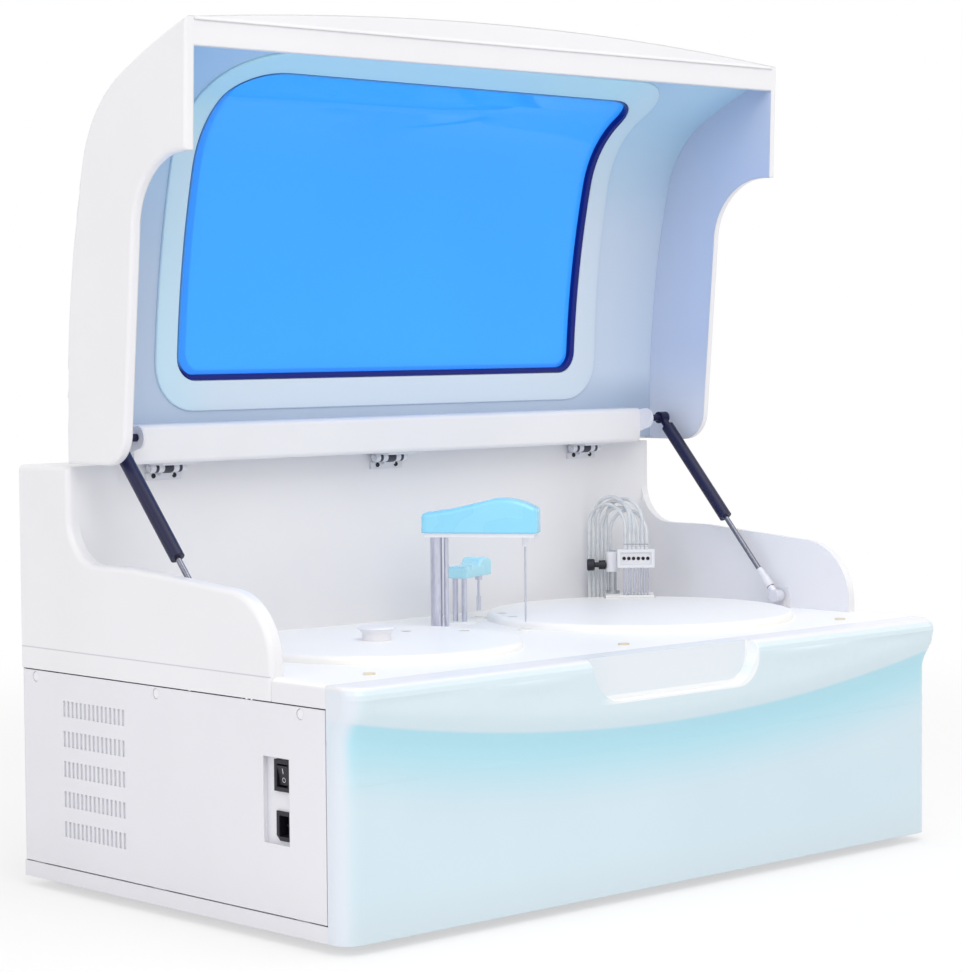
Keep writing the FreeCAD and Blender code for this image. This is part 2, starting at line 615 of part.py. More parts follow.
# Sheet panels with rows of vent slots
def ventRow(name, x, y, z, count, direction):
    wide, tall = s.vent_width, s.vent_length
    plane = "YZ" if direction == "Y" else "XZ"
    body, sketch = sketched(name, plane, [(0, 0), (wide, 0), (wide, tall), (0, tall)])
    pad = body.newObject("PartDesign::Pad", name + "_pad")
    pad.Profile = sketch
    pad.setExpression("Length", (s.panel_sheet + s.overrun * 2).text)
    doc.recompute()
    row = body.newObject("PartDesign::LinearPattern", name + "_row")
    row.Originals = [pad]
    row.Direction = (sketch, ["H_Axis"])
    row.setExpression("Length", (s.vent_pitch * (count - 1)).text)
    row.Occurrences = count
    body.Tip = row
    return place(body, x, y, z)


vent_count = 15
vent_rows = 5


def sidePanel(name, side, extras):
    outer = half_width * side
    inner = (half_width - s.panel_sheet) * side
    span = (outer, inner) if side < 0 else (inner, outer)
    low_y = joint_y + s.panel_front_gap
    high_y = rear_y - s.panel_rear_inset
    low_z = base_z + s.plinth_height + s.seam
    sheet_blank = box(name + "_blank", span, (low_y, high_y), (low_z, seam_z - s.seam))
    tools = [ventRow("%s_vents_%d" % (name, row), span[0] - s.overrun, front_y + s.vent_first_depth,
                     base_z + s.vent_low_height + s.vent_row_pitch * row, vent_count, "Y")
             for row in range(vent_rows)]
    for index, depth in enumerate((s.screw_front_depth, s.screw_middle_depth, s.screw_rear_depth)):
        tools.append(cylinder("%s_screw_hole_%d" % (name, index), s.screw_radius + s.seat_gap,
                              (span[0] - s.overrun, front_y + depth, base_z + s.screw_height),
                              s.panel_sheet + s.overrun * 2, "X"))
    keep(name, cut(name.title().replace("_", ""), sheet_blank, tools + extras))


def sidePanels():
    rim = s.power_plate_rim
    low_y = front_y + s.power_plate_depth
    low_z = base_z + s.power_plate_low
    aperture = box("power_aperture", (-half_width - s.overrun, -half_width + s.overrun),
                   (low_y + rim, low_y + s.power_plate_width - rim),
                   (low_z + rim, low_z + s.power_plate_tall - rim))
    sidePanel("left_side_panel", -1, [aperture])
    sidePanel("right_side_panel", 1, [])


def panelScrews():
    profile = [(0, -s.screw_shank_length), (s.screw_shank_radius, -s.screw_shank_length),
               (s.screw_shank_radius, 0), (s.screw_radius, 0), (s.screw_radius, s.screw_head_height / 2),
               (s.screw_radius * screw_crown_share, s.screw_head_height), (0, s.screw_head_height)]
    screws = []
    for side in (-1, 1):
        seat = (half_width - s.panel_sheet) * side
        for index, depth in enumerate((s.screw_front_depth, s.screw_middle_depth, s.screw_rear_depth)):
            facing = FreeCAD.Rotation(FreeCAD.Vector(0, 1, 0), 90 * side)
            screws.append(revolved("PanelScrew_%d_%d" % (side + 1, index), profile, seat, front_y + depth,
                                   base_z + s.screw_height, facing))
    return screws


screw_crown_share = 0.7


def rearPanel():
    low = rear_y - s.panel_sheet - s.tray_sheet
    sheet_blank = box("rear_blank", (-half_width + s.panel_sheet, half_width - s.panel_sheet),
                      (rear_y - s.panel_sheet, rear_y), (base_z + s.plinth_height, seam_z))
    tools = []
    fan_z = base_z + s.fan_height
    radius = s.grille_gap
    index = 0
    while radius.value + s.grille_gap.value < s.fan_bore_radius.value:
        outer = radius + s.grille_gap
        slot = cut("grille_slot_%d" % index, cylinder("grille_outer_%d" % index, outer, (
            s.fan_x, low, fan_z), s.overrun * 2, "Y"), [cylinder("grille_inner_%d" % index, radius, (
                s.fan_x, low - s.overrun, fan_z), s.overrun * 4, "Y")])
        tools.append(slot)
        radius = outer + s.grille_ring_width
        index += 1
    arm = s.grille_ring_width / 2
    bars = fused("grille_bars", [
        box("grille_bar_across", (s.fan_x - s.fan_bore_radius, s.fan_x + s.fan_bore_radius),
            (low - s.overrun, rear_y + s.overrun), (fan_z - arm, fan_z + arm)),
        box("grille_bar_up", (s.fan_x - arm, s.fan_x + arm), (low - s.overrun, rear_y + s.overrun),
            (fan_z - s.fan_bore_radius, fan_z + s.fan_bore_radius)),
    ])
    slots = [cut("grille_open_%d" % number, slot, [bars]) for number, slot in enumerate(tools)]
    rows = [ventRow("rear_vents_%d" % row, -half_width / 2, rear_y + s.overrun,
                    base_z + s.vent_low_height + s.vent_row_pitch * row, vent_count, "X")
            for row in range(vent_rows)]
    keep("rear_panel", cut("RearPanel", sheet_blank, slots + rows))


# Power entry: recessed plate with the rocker switch and the mains inlet
def powerEntry():
    low_y, low_z = front_y + s.power_plate_depth, base_z + s.power_plate_low
    back_x = -half_width + s.power_plate_inset
    face = (low_y, low_y + s.power_plate_width)
    tall = (low_z, low_z + s.power_plate_tall)
    wall = s.power_plate_sheet
    outer = box("plate_outer", (-half_width + s.panel_sheet, back_x + wall), face, tall)
    inner = box("plate_inner", (-half_width, back_x), (face[0] + wall, face[1] - wall), (tall[0] + wall, tall[1] - wall))
    switch_y = (front_y + s.switch_depth, front_y + s.switch_depth + s.switch_width)
    switch_z = (base_z + s.switch_low, base_z + s.switch_low + s.switch_tall)
    inlet_middle = (switch_y[0] + switch_y[1]) / 2
    inlet_y = (inlet_middle - s.inlet_width / 2, inlet_middle + s.inlet_width / 2)
    inlet_z = (base_z + s.inlet_low, base_z + s.inlet_low + s.inlet_tall)
    through = (back_x - s.overrun, back_x + wall + s.overrun)
    inset, flange = s.switch_wall, s.inlet_wall
    gap = s.seat_gap
    switch_hole = box("switch_hole", through, (switch_y[0] + inset - gap, switch_y[1] - inset + gap),
                      (switch_z[0] + inset - gap, switch_z[1] - inset + gap))
    inlet_hole = box("inlet_hole", through, (inlet_y[0] + flange - gap, inlet_y[1] - flange + gap),
                     (inlet_z[0] + flange - gap, inlet_z[1] - flange + gap))
    keep("power_plate", cut("PowerPlate", outer, [inner, switch_hole, inlet_hole]))

    bezel = fused("switch_bezel", [
        box("bezel_flange", (back_x - s.switch_proud, back_x), switch_y, switch_z),
        box("bezel_body", (back_x, back_x + s.switch_body_length), (switch_y[0] + inset, switch_y[1] - inset),
            (switch_z[0] + inset, switch_z[1] - inset)),
    ])
    wide = inset + s.rocker_gap
    cavity = box("bezel_cavity", (back_x - s.switch_proud - s.overrun, back_x + s.switch_body_length - inset),
                 (switch_y[0] + inset * 2, switch_y[1] - inset * 2), (switch_z[0] + inset * 2, switch_z[1] - inset * 2))
    axis_x = back_x + s.rocker_thickness - s.switch_proud / 2
    middle_z = (switch_z[0] + switch_z[1]) / 2
    keep("switch_frame", cut("SwitchFrame", bezel, [cavity]))

    half = (switch_z[1] - switch_z[0]) / 2 - inset * 2 - s.rocker_end_gap
    proud = s.rocker_thickness
    spread = math.tan(math.radians(s.rocker_tilt.value))
    rocker = prism("Rocker", "XZ", [
        (0, -half), (0, half), (-proud - half * spread, half), (-proud, 0), (-proud + half * spread / 2, -half),
    ], (switch_y[0] + inset + wide, switch_y[1] - inset - wide))
    place(rocker, axis_x, switch_y[1] - inset - wide, middle_z)
    keep("power_rocker", rocker)

    chamfer = s.inlet_chamfer
    shell = prism("inlet_shell", "YZ", [
        (inlet_y[0] + chamfer, inlet_z[0]), (inlet_y[1] - chamfer, inlet_z[0]),
        (inlet_y[1], inlet_z[0] + chamfer), (inlet_y[1], inlet_z[1]), (inlet_y[0], inlet_z[1]),
        (inlet_y[0], inlet_z[0] + chamfer),
    ], (back_x - s.inlet_proud, back_x))
    body = box("inlet_body", (back_x, back_x + s.inlet_body_length), (inlet_y[0] + flange, inlet_y[1] - flange),
               (inlet_z[0] + flange, inlet_z[1] - flange))
    socket = box("inlet_socket", (back_x - s.inlet_proud - s.overrun, back_x - s.inlet_proud + s.inlet_cavity),
                 (inlet_y[0] + flange * 2, inlet_y[1] - flange * 2), (inlet_z[0] + flange * 2, inlet_z[1] - flange * 2))
    root = back_x - s.inlet_proud + s.inlet_cavity
    pins = []
    pin_half = s.inlet_pin_width / 2
    middle = (inlet_z[0] + inlet_z[1]) / 2
    for index in range(3):
        z = middle + s.inlet_pin_pitch * (index - 1)
        y = inlet_middle + (s.inlet_pin_thickness if index == 1 else -s.inlet_pin_thickness / 2)
        pins.append(box("inlet_pin_%d" % index, (root - s.inlet_pin_length, root + flange / 2),
                        (y - pin_half, y + pin_half),
                        (z - s.inlet_pin_thickness / 2, z + s.inlet_pin_thickness / 2)))
    keep("power_inlet", fused("PowerInlet", [cut("inlet_hollow", fused("inlet_solid", [shell, body]), [socket])] + pins))


# Lid curve: straight foot, back arc, crown arc and top arc, at a depth inside the outer skin
def lidPoint(turn, depth):
    back_centre = (tower_y - s.lid_back_radius, lid_foot_z + s.lid_straight)
    if turn <= s.lid_back_turn.value + tolerance:
        centre, radius = back_centre, s.lid_back_radius
    else:
        crown_step = s.lid_back_radius - s.lid_crown_radius
        crown_centre = (back_centre[0] + crown_step * cosine(s.lid_back_turn),
                        back_centre[1] + crown_step * sine(s.lid_back_turn))
        crown_end = s.lid_back_turn + s.lid_crown_turn
        if turn <= crown_end.value + tolerance:
            centre, radius = crown_centre, s.lid_crown_radius
        else:
            top_step = s.lid_top_radius - s.lid_crown_radius
            centre = (crown_centre[0] - top_step * cosine(crown_end), crown_centre[1] - top_step * sine(crown_end))
            radius = s.lid_top_radius
    angle = math.radians(turn)
    return centre[0] + (radius - depth) * math.cos(angle), centre[1] + (radius - depth) * math.sin(angle)


lid_foot_z = hinge_z + s.lid_bottom_rise
lid_turns = (s.lid_back_turn.value, (s.lid_back_turn + s.lid_crown_turn).value,
             (s.lid_back_turn + s.lid_crown_turn + s.lid_top_turn).value)
lid_radii = (s.lid_back_radius, s.lid_crown_radius, s.lid_top_radius)


# Corners along the lid curve from one turn to another, each with the radius of the arc that follows
def lidRun(start, end, depth):
    corners = []
    stops = [start] + [turn for turn in lid_turns if start < turn < end] + [end]
    for turn, following in zip(stops[:-1], stops[1:]):
        index = [number for number, limit in enumerate(lid_turns) if following <= limit + tolerance][0]
        corners.append((*lidPoint(turn, depth), lid_radii[index] - depth))
    corners.append(lidPoint(end, depth))
    return corners


# The same run walked back, so its arcs turn right
def lidReturn(start, end, depth):
    run = lidRun(start, end, depth)
    points = [corner[:2] for corner in run]
    radii = [corner[2] for corner in run[:-1]]
    points.reverse()
    radii.reverse()
    return [(*point, -radius) for point, radius in zip(points, radii)] + [points[-1]]


def lidBand(name, half, start, end, depth, thickness, corner=None, foot_z=None):
    outline = lidRun(start, end, depth) + lidReturn(start, end, depth + thickness)
    if foot_z is not None:
        outline = [(tower_y - depth, foot_z)] + outline + [(tower_y - depth - thickness, foot_z)]
    band = prism(name, "YZ", outline, (-half, half))
    if corner is None:
        return band

    def chosen(edge):
        ends = [vertex.X for vertex in edge.Vertexes]
        straight = isinstance(edge.Curve, (Part.Line, Part.LineSegment))
        return straight and near(ends[0], ends[1]) and near(abs(ends[0]), half.value)
    return rounded(band, corner, chosen)


def cheekOutline():
    swing = s.lid_swing
    round_y = front_y + s.wall_front_depth + s.wall_round_radius - hinge_y
    round_z = base_z + s.wall_front_height - s.wall_round_radius - hinge_z
    notch_y = hinge_y + round_y * cosine(swing) + round_z * sine(swing)
    notch_z = hinge_z - round_y * sine(swing) + round_z * cosine(swing)
    notch = s.wall_round_radius + s.notch_gap
    corner = s.cheek_corner_radius
    front = hinge_y - s.cheek_front_reach
    tip = lidPoint(lid_turns[-1], 0)
    return [(tower_y, lid_foot_z)] + lidRun(0, lid_turns[-1], 0) + [
        (tip[0] + s.tab_lean, notch_z + notch),
        (notch_y, notch_z + notch, -notch),
        (notch_y + notch, notch_z),
        (front, lid_foot_z + corner, corner),
        (front + corner, lid_foot_z),
    ]


def cheeks():
    span = (-half_width, s.cheek_thickness - half_width)

    def chosen(edge):
        return all(near(vertex.X, span[0].value) for vertex in edge.Vertexes)
    left = rounded(prism("LeftCheek", "YZ", cheekOutline(), span), s.cheek_edge_radius, chosen)
    right = doc.addObject("Part::Mirroring", "RightCheek")
    right.Source = left
    right.Normal = FreeCAD.Vector(1, 0, 0)
    return [left, right]


# The flange's arched brow, lofted back into the lid's skin before the window
def lidCrown():
    inner, skin = (half_width - s.cheek_thickness).value, s.lid_skin.value
    back_turn = (s.window_high_turn + s.pane_margin_turn + s.crown_gap_turn).value
    sections = []
    for turn, rise in ((lid_turns[-1], s.crown_rise), (back_turn, s.crown_edge_rise)):
        y, z = [coordinate.value for coordinate in lidPoint(turn, sized(0))]
        left, right = FreeCAD.Vector(-inner, y, z), FreeCAD.Vector(inner, y, z)
        drop = FreeCAD.Vector(0, 0, -skin)
        middle = FreeCAD.Vector(0, y, z + rise.value)
        sections.append(Part.Wire([
            Part.LineSegment(left + drop, right + drop).toShape(), Part.LineSegment(right + drop, right).toShape(),
            Part.Arc(right, middle, left).toShape(), Part.LineSegment(left, left + drop).toShape(),
        ]))
    crown = doc.addObject("Part::Feature", "LidCrown")
    crown.Shape = Part.makeLoft(sections, True, True)
    return crown


def lidShell():
    inner = half_width - s.cheek_thickness
    skin = lidBand("lid_skin_band", inner, 0, lid_turns[-1], sized(0), s.lid_skin, None, lid_foot_z)
    tip = lidPoint(lid_turns[-1], 0)
    low = tip[1] - s.flange_height
    flange = prism("lid_flange", "YZ", [
        tip, (tip[0] + s.tab_lean * flange_share, low), (tip[0] + s.tab_lean * flange_share + s.flange_thickness, low),
        (tip[0] + s.flange_thickness, tip[1] - s.lid_skin),
    ], (-inner, inner))
    solid = fused("lid_solid", [skin, flange, lidCrown()] + cheeks())
    inset = s.outer_window_inset
    turn = inset.value / s.lid_back_radius.value
    opening = lidBand("outer_window", s.window_half_width - inset, s.window_low_turn.value + math.degrees(turn),
                      s.window_high_turn.value - math.degrees(inset.value / s.lid_top_radius.value),
                      -s.overrun, s.lid_skin + s.overrun * 2, s.window_corner_radius - inset / 2)
    keep("lid_shell", cut("LidShell", solid, [opening]))


flange_share = 0.22


def lidLiner():
    inner = half_width - s.cheek_thickness
    depth, thick = s.liner_depth, s.liner_thickness
    end = lid_turns[-1] - math.degrees((s.flange_thickness + s.tab_lean * 2).value / s.lid_top_radius.value)
    sheet_band = lidBand("liner_band", inner, 0, end, depth, thick, None, lid_foot_z + s.liner_foot_gap)
    rim = lidBand("liner_rim", s.rim_half_width, s.rim_low_turn.value, s.rim_high_turn.value,
                  depth + thick / 2, thick / 2 + s.rim_height, s.rim_corner_radius)
    opening = lidBand("liner_window", s.window_half_width, s.window_low_turn.value, s.window_high_turn.value,
                      depth - s.overrun, thick + s.rim_height + s.overrun * 2, s.window_corner_radius)
    keep("lid_liner", cut("LidLiner", fused("liner_solid", [sheet_band, rim]), [opening]))


def lidWindow():
    margin_turn = s.pane_margin_turn.value
    pane = lidBand("LidWindow", s.window_half_width + s.pane_margin, s.window_low_turn.value - margin_turn,
                   s.window_high_turn.value + margin_turn, s.liner_depth - s.seat_gap - s.pane_thickness,
                   s.pane_thickness, s.window_corner_radius)
    keep("lid_window", pane)


def windowGasket():
    gap, width = s.seat_gap, s.gasket_width
    outer_turns = [math.degrees(gap.value / s.lid_back_radius.value), math.degrees(gap.value / s.lid_top_radius.value)]
    inner_turns = [math.degrees(width.value / s.lid_back_radius.value),
                   math.degrees(width.value / s.lid_top_radius.value)]
    low, high = s.window_low_turn.value, s.window_high_turn.value
    thick = s.liner_thickness + s.rim_height + s.gasket_proud
    outer = lidBand("gasket_outer", s.window_half_width - gap, low + outer_turns[0], high - outer_turns[1],
                    s.liner_depth, thick, s.window_corner_radius - gap)
    inner = lidBand("gasket_inner", s.window_half_width - width, low + inner_turns[0], high - inner_turns[1],
                    s.liner_depth - s.overrun, thick + s.overrun * 2, s.window_corner_radius - width)
    keep("window_gasket", cut("WindowGasket", outer, [inner]))


bar_back_y = tower_y - s.liner_depth - s.liner_thickness
bar_low_z = lid_foot_z - s.bar_drop
bar_front_y = bar_back_y - s.bar_depth


def rearBar():
    radius = s.bar_edge_radius
    low, high = bar_low_z, bar_low_z + s.bar_height
    keep("lid_rear_bar", prism("LidRearBar", "YZ", [
        (bar_back_y, low), (bar_back_y, high), (bar_front_y + radius, high, radius),
        (bar_front_y, high - radius), (bar_front_y, low + radius, radius), (bar_front_y + radius, low),
    ], (-s.bar_half_length, s.bar_half_length)))


# Three hinges: fixed leaf on the tower with its pin, moving leaf under the bar
def hinges():
    fixed, moving, pins = [], [], []
    knuckle, thick = s.knuckle_radius, s.leaf_thickness
    half, middle = s.hinge_width / 2, s.knuckle_width / 2
    bore_radius = s.pin_radius + s.running_fit
    for index in range(3):
        x = s.hinge_pitch * (index - 1)
        low = x - half
        bore = cylinder("hinge_bore_%d" % index, bore_radius, (low - s.overrun, hinge_y, hinge_z),
                        s.hinge_width + s.overrun * 2, "X")
        leaf = fused("fixed_blank_%d" % index, [
            box("fixed_plate_%d" % index, (low, x + half), (tower_y - thick, tower_y),
                (hinge_z - s.leaf_height, hinge_z - knuckle - s.knuckle_gap)),
            box("fixed_web_%d" % index, (x - middle, x + middle), (hinge_y, tower_y),
                (hinge_z - knuckle - s.knuckle_gap - thick, hinge_z)),
            cylinder("fixed_knuckle_%d" % index, knuckle, (x - middle, hinge_y, hinge_z), s.knuckle_width, "X"),
        ])
        fixed.append(cut("FixedLeaf%d" % index, leaf, [bore]))
        side = s.knuckle_width / 2 + s.knuckle_gap
        flap = fused("moving_blank_%d" % index, [
            box("moving_plate_%d" % index, (low, x + half), (hinge_y - s.leaf_reach, hinge_y),
                (bar_low_z - thick, bar_low_z)),
            cylinder("moving_knuckle_left_%d" % index, knuckle, (low, hinge_y, hinge_z), half - side, "X"),
            cylinder("moving_knuckle_right_%d" % index, knuckle, (x + side, hinge_y, hinge_z), half - side, "X"),
        ])
        notch = box("moving_notch_%d" % index, (x - side, x + side),
                    (hinge_y - knuckle - s.knuckle_gap * 2, hinge_y + knuckle), (hinge_z, bar_low_z + s.overrun))
        moving.append(cut("MovingLeaf%d" % index, flap, [
            notch, cylinder("moving_bore_%d" % index, bore_radius, (low - s.overrun, hinge_y, hinge_z),
                            s.hinge_width + s.overrun * 2, "X")]))
        pins.append(fused("HingePin%d" % index, [
            cylinder("pin_shank_%d" % index, s.pin_radius, (low - s.knuckle_gap, hinge_y, hinge_z),
                     s.hinge_width + s.knuckle_gap * 2, "X"),
            cylinder("pin_head_left_%d" % index, s.pin_head_radius,
                     (low - s.knuckle_gap - s.pin_head_length, hinge_y, hinge_z), s.pin_head_length, "X"),
            cylinder("pin_head_right_%d" % index, s.pin_head_radius,
                     (x + half + s.knuckle_gap, hinge_y, hinge_z), s.pin_head_length, "X"),
        ]))
    keep("hinge_fixed_leaves", grouped("HingeFixedLeaves", fixed + pins))
    keep("hinge_lid_leaves", grouped("HingeLidLeaves", moving))


# Gas struts, drawn along their own axis and turned into place
strut_low = (front_y + s.strut_low_depth, base_z + s.strut_low_height)
strut_high = (front_y + s.strut_high_depth, base_z + s.strut_high_height)
strut_across = (strut_high[0] - strut_low[0]).value
strut_up = (strut_high[1] - strut_low[1]).value
strut_length = math.hypot(strut_across, strut_up)
strut_lean = math.degrees(math.atan2(strut_across, strut_up))


def strutFrame(solid, side):
    rotation = FreeCAD.Rotation(FreeCAD.Vector(1, 0, 0), -strut_lean)
    return place(solid, s.strut_plane * side, *strut_low, rotation)


def strutEye(name, side, local_z, radius, inward, outward):
    turn = math.radians(strut_lean)
    low = s.strut_plane * side - (inward if side > 0 else outward)
    return cylinder(name, radius, (low, strut_low[0] + local_z * math.sin(turn),
                                   strut_low[1] + local_z * math.cos(turn)), inward + outward, "X")


def struts():
    length = Size(strut_length, "(%s)" % (((strut_high[0] - strut_low[0]) * math.sin(math.radians(strut_lean))
                                          + (strut_high[1] - strut_low[1]) * math.cos(math.radians(strut_lean))).text))
    half_head = s.strut_head_length / 2
    head = s.strut_head_radius
    for word, side in (("left", -1), ("right", 1)):
        rod = strutFrame(revolved(word + "_rod_turned", [
            (0, 0), (s.strut_neck_radius, 0), (s.strut_neck_radius, head + s.strut_collar_length),
            (s.strut_rod_radius, head + s.strut_collar_length), (s.strut_rod_radius, s.strut_rod_reach),
            (s.strut_bore_radius - s.strut_piston_gap, s.strut_rod_reach),
            (s.strut_bore_radius - s.strut_piston_gap, s.strut_rod_reach + s.strut_piston_length),
            (0, s.strut_rod_reach + s.strut_piston_length),
        ]), side)
        eye = strutEye(word + "_rod_eye", side, sized(0), head, half_head, half_head)
        # the socket opens towards the side wall
        stud_low = s.strut_plane * side - (s.strut_socket_depth - half_head if side > 0 else half_head + s.overrun)
        socket = cylinder(word + "_rod_socket", s.strut_stud_radius + s.running_fit,
                          (stud_low, strut_low[0], strut_low[1]), s.strut_socket_depth + s.overrun, "X")
        keep(word + "_strut_rod", cut(word.title() + "StrutRod", fused(word + "_rod_solid", [rod, eye]), [socket]))

        start = s.strut_tube_start
        gland = start + s.strut_gland_length
        cap = length - head - s.strut_collar_length / 2
        tube = strutFrame(revolved(word + "_tube_turned", [
            (s.strut_rod_radius + s.running_fit, start), (s.strut_tube_radius, start),
            (s.strut_tube_radius, cap), (s.strut_neck_radius, cap), (s.strut_neck_radius, length),
            (0, length), (0, cap - s.strut_cap_length), (s.strut_bore_radius, cap - s.strut_cap_length),
            (s.strut_bore_radius, gland), (s.strut_rod_radius + s.running_fit, gland),
        ]), side)
        eye = strutEye(word + "_tube_eye", side, length, head, half_head, half_head)
        reach = s.strut_plane - s.bar_half_length - s.bracket_thickness - s.seat_gap - half_head
        stud = strutEye(word + "_tube_stud", side, length, s.strut_stud_radius, half_head + reach, sized(0))
        keep(word + "_strut_tube", fused(word.title() + "StrutTube", [tube, eye, stud]))


def strutFixings():
    plates, brackets = [], []
    low_y, low_z = strut_low
    wide, tall = s.stud_plate_half_width, s.stud_plate_half_height
    for word, side in (("left", -1), ("right", 1)):
        wall = wall_x * side
        back = (wall_x - s.stud_plate_thickness) * side
        span = (wall, back) if side < 0 else (back, wall)
        base_low = deck_z + s.seat_gap
        plate = prism(word + "_stud_plate", "YZ", [
            (low_y - wide, base_low), (low_y + wide, base_low), (low_y + wide, low_z),
            (low_y + tall, low_z + tall), (low_y - tall, low_z + tall), (low_y - wide, low_z),
        ], span)
        inner = s.strut_plane - (s.strut_socket_depth - s.strut_head_length / 2) + s.seat_gap
        length = wall_x - s.stud_plate_thickness - inner
        start = inner if side > 0 else back
        stud = cylinder(word + "_wall_stud", s.strut_stud_radius, (start, low_y, low_z), length, "X")
        plates.append(fused(word.title() + "WallStud", [plate, stud]))
        near_x = s.bar_half_length * side
        far_x = (s.bar_half_length + s.bracket_thickness) * side
        high_y, high_z = strut_high
        turn = s.bracket_round
        back_y = front_y + s.bracket_back_depth
        brackets.append(prism(word.title() + "LidBracket", "YZ", [
            (back_y, base_z + s.bracket_low_height), (back_y, base_z + s.bracket_high_height),
            (high_y, high_z + turn, turn), (high_y - turn, high_z, turn), (high_y, high_z - turn),
        ], (far_x, near_x) if side < 0 else (near_x, far_x)))
    keep("strut_wall_studs", grouped("StrutWallStuds", plates))
    keep("strut_lid_brackets", grouped("StrutLidBrackets", brackets))


# Lift-off round covers of the two discs
def coverOutline(radius, opening):
    skin, edge = s.cover_skin, s.cover_edge_radius
    spigot = opening - s.cover_spigot_gap
    return [
        (0, s.cover_rise), (radius - edge, s.cover_rise, -edge), (radius, s.cover_rise - edge), (radius, 0),
        (spigot, 0), (spigot, -s.cover_spigot_drop), (spigot - skin, -s.cover_spigot_drop),
        (spigot - skin, s.cover_rise - skin), (0, s.cover_rise - skin),
    ]


def sampleCover():
    disc = revolved("sample_cover_disc", coverOutline(s.sample_cover_radius, s.sample_opening_radius),
                    *sample_axis, deck_z)
    tools = [cylinder("sample_port_%d" % index, s.port_radius, (*port, deck_z - s.overrun),
                      s.cover_rise + s.overrun * 2) for index, port in enumerate((inner_port, outer_port))]
    keep("sample_cover", cut("SampleCover", disc, tools))
    radius, waist, edge = s.sample_knob_radius, s.sample_knob_waist, s.sample_knob_edge
    tall = s.sample_knob_height
    keep("sample_cover_knob", revolved("SampleCoverKnob", [
        (0, 0), (waist, 0), (waist, tall / 2, -(radius - waist) * 2), (radius, tall - edge),
        (radius - edge, tall), (0, tall),
    ], *sample_axis, cover_z))


def reactionCover():
    disc = revolved("reaction_cover_disc", coverOutline(s.reaction_cover_radius, s.reaction_opening_radius),
                    *reaction_axis, deck_z)
    tools = [cylinder("reaction_port_%d" % index, s.port_radius, (*port, deck_z - s.overrun),
                      s.cover_rise + s.overrun * 2) for index, port in enumerate((dosing_port, mixing_port))]
    margin = s.notch_margin
    notch = box("wash_notch", (-s.wash_block_left - margin, s.wash_block_right + margin),
                (s.wash_block_front - margin, s.reaction_cover_radius + s.overrun), (-s.overrun * 3, s.overrun * 3))
    tools.append(washFrame(notch, deck_z - s.overrun * 3))
    notch.setExpression("Placement.Base.x", (s.reaction_x + washX(-s.wash_block_left - margin,
                                                                  s.wash_block_front - margin)).text)
    notch.setExpression("Placement.Base.y", (reaction_y + washY(-s.wash_block_left - margin,
                                                                s.wash_block_front - margin)).text)
    keep("reaction_cover", cut("ReactionCover", disc, tools))


# Row-frame offsets of a point given along the tangent and the radius at the wash station
def washX(along, radial):
    turn = math.radians(s.wash_bearing.value)
    return along * math.sin(turn) + radial * math.cos(turn)


def washY(along, radial):
    turn = math.radians(s.wash_bearing.value)
    return radial * math.sin(turn) - along * math.cos(turn)


def washPlace(solid, along, radial, z):
    facing = FreeCAD.Rotation(FreeCAD.Vector(0, 0, 1), s.wash_bearing.value - 90)
    return place(solid, s.reaction_x + washX(along, radial), reaction_y + washY(along, radial), z, facing)


def washBox(name, x, y, z):
    solid = box(name, x, y, z)
    return washPlace(solid, x[0], y[0], z[0])


def washCylinder(name, radius, along, radial, z, length):
    return cylinder(name, radius, (s.reaction_x + washX(along, radial), reaction_y + washY(along, radial), z), length)


# Sample disc: rotor with two rings of tube holes, its tubes, and the drive motors of both discs
def sampleRotor():
    top = deck_z - s.rotor_top_drop
    disc = revolved("rotor_disc", [
        (0, -s.rotor_hub_length), (s.rotor_hub_radius, -s.rotor_hub_length), (s.rotor_hub_radius, -s.rotor_thickness),
        (s.rotor_radius, -s.rotor_thickness), (s.rotor_radius, 0), (0, 0),
    ], *sample_axis, top)
    holes = tubeRing("tube_hole", s.tube_radius + s.tube_hole_gap, top - s.rotor_thickness - s.overrun,
                     s.rotor_thickness + s.overrun * 2)
    shaft = cylinder("rotor_bore", s.motor_shaft_radius + s.spindle_gap, (*sample_axis, top - s.rotor_hub_length),
                     s.rotor_hub_length - s.rotor_thickness)
    keep("sample_rotor", cut("SampleRotor", disc, holes + [shaft]))
    low = top + s.tube_rise - s.tube_length
    tubes = tubeRing("tube", s.tube_radius, low, s.tube_length)
    rims = tubeRing("tube_rim", s.tube_rim_radius, top + s.seat_gap * 0, s.tube_rim_height)
    keep("sample_tubes", grouped("SampleTubes", [fused("SampleTube%d" % index, list(pair))
                                                 for index, pair in enumerate(zip(tubes, rims))]))


def tubeRing(name, radius, z, length):
    solids = []
    for word, ring_radius, count in (("outer", s.outer_ring_radius, s.outer_tube_count),
                                     ("inner", s.inner_ring_radius, s.inner_tube_count)):
        port = outer_port if word == "outer" else inner_port
        first = math.degrees(math.atan2(port[1].value - sample_y.value, port[0].value - s.sample_x.value))
        for index in range(round(count.value)):
            spot = reached(*sample_axis, ring_radius, first + 360 * index / count.value)
            solids.append(cylinder("%s_%s_%d" % (name, word, index), radius, (*spot, z), length))
    return solids


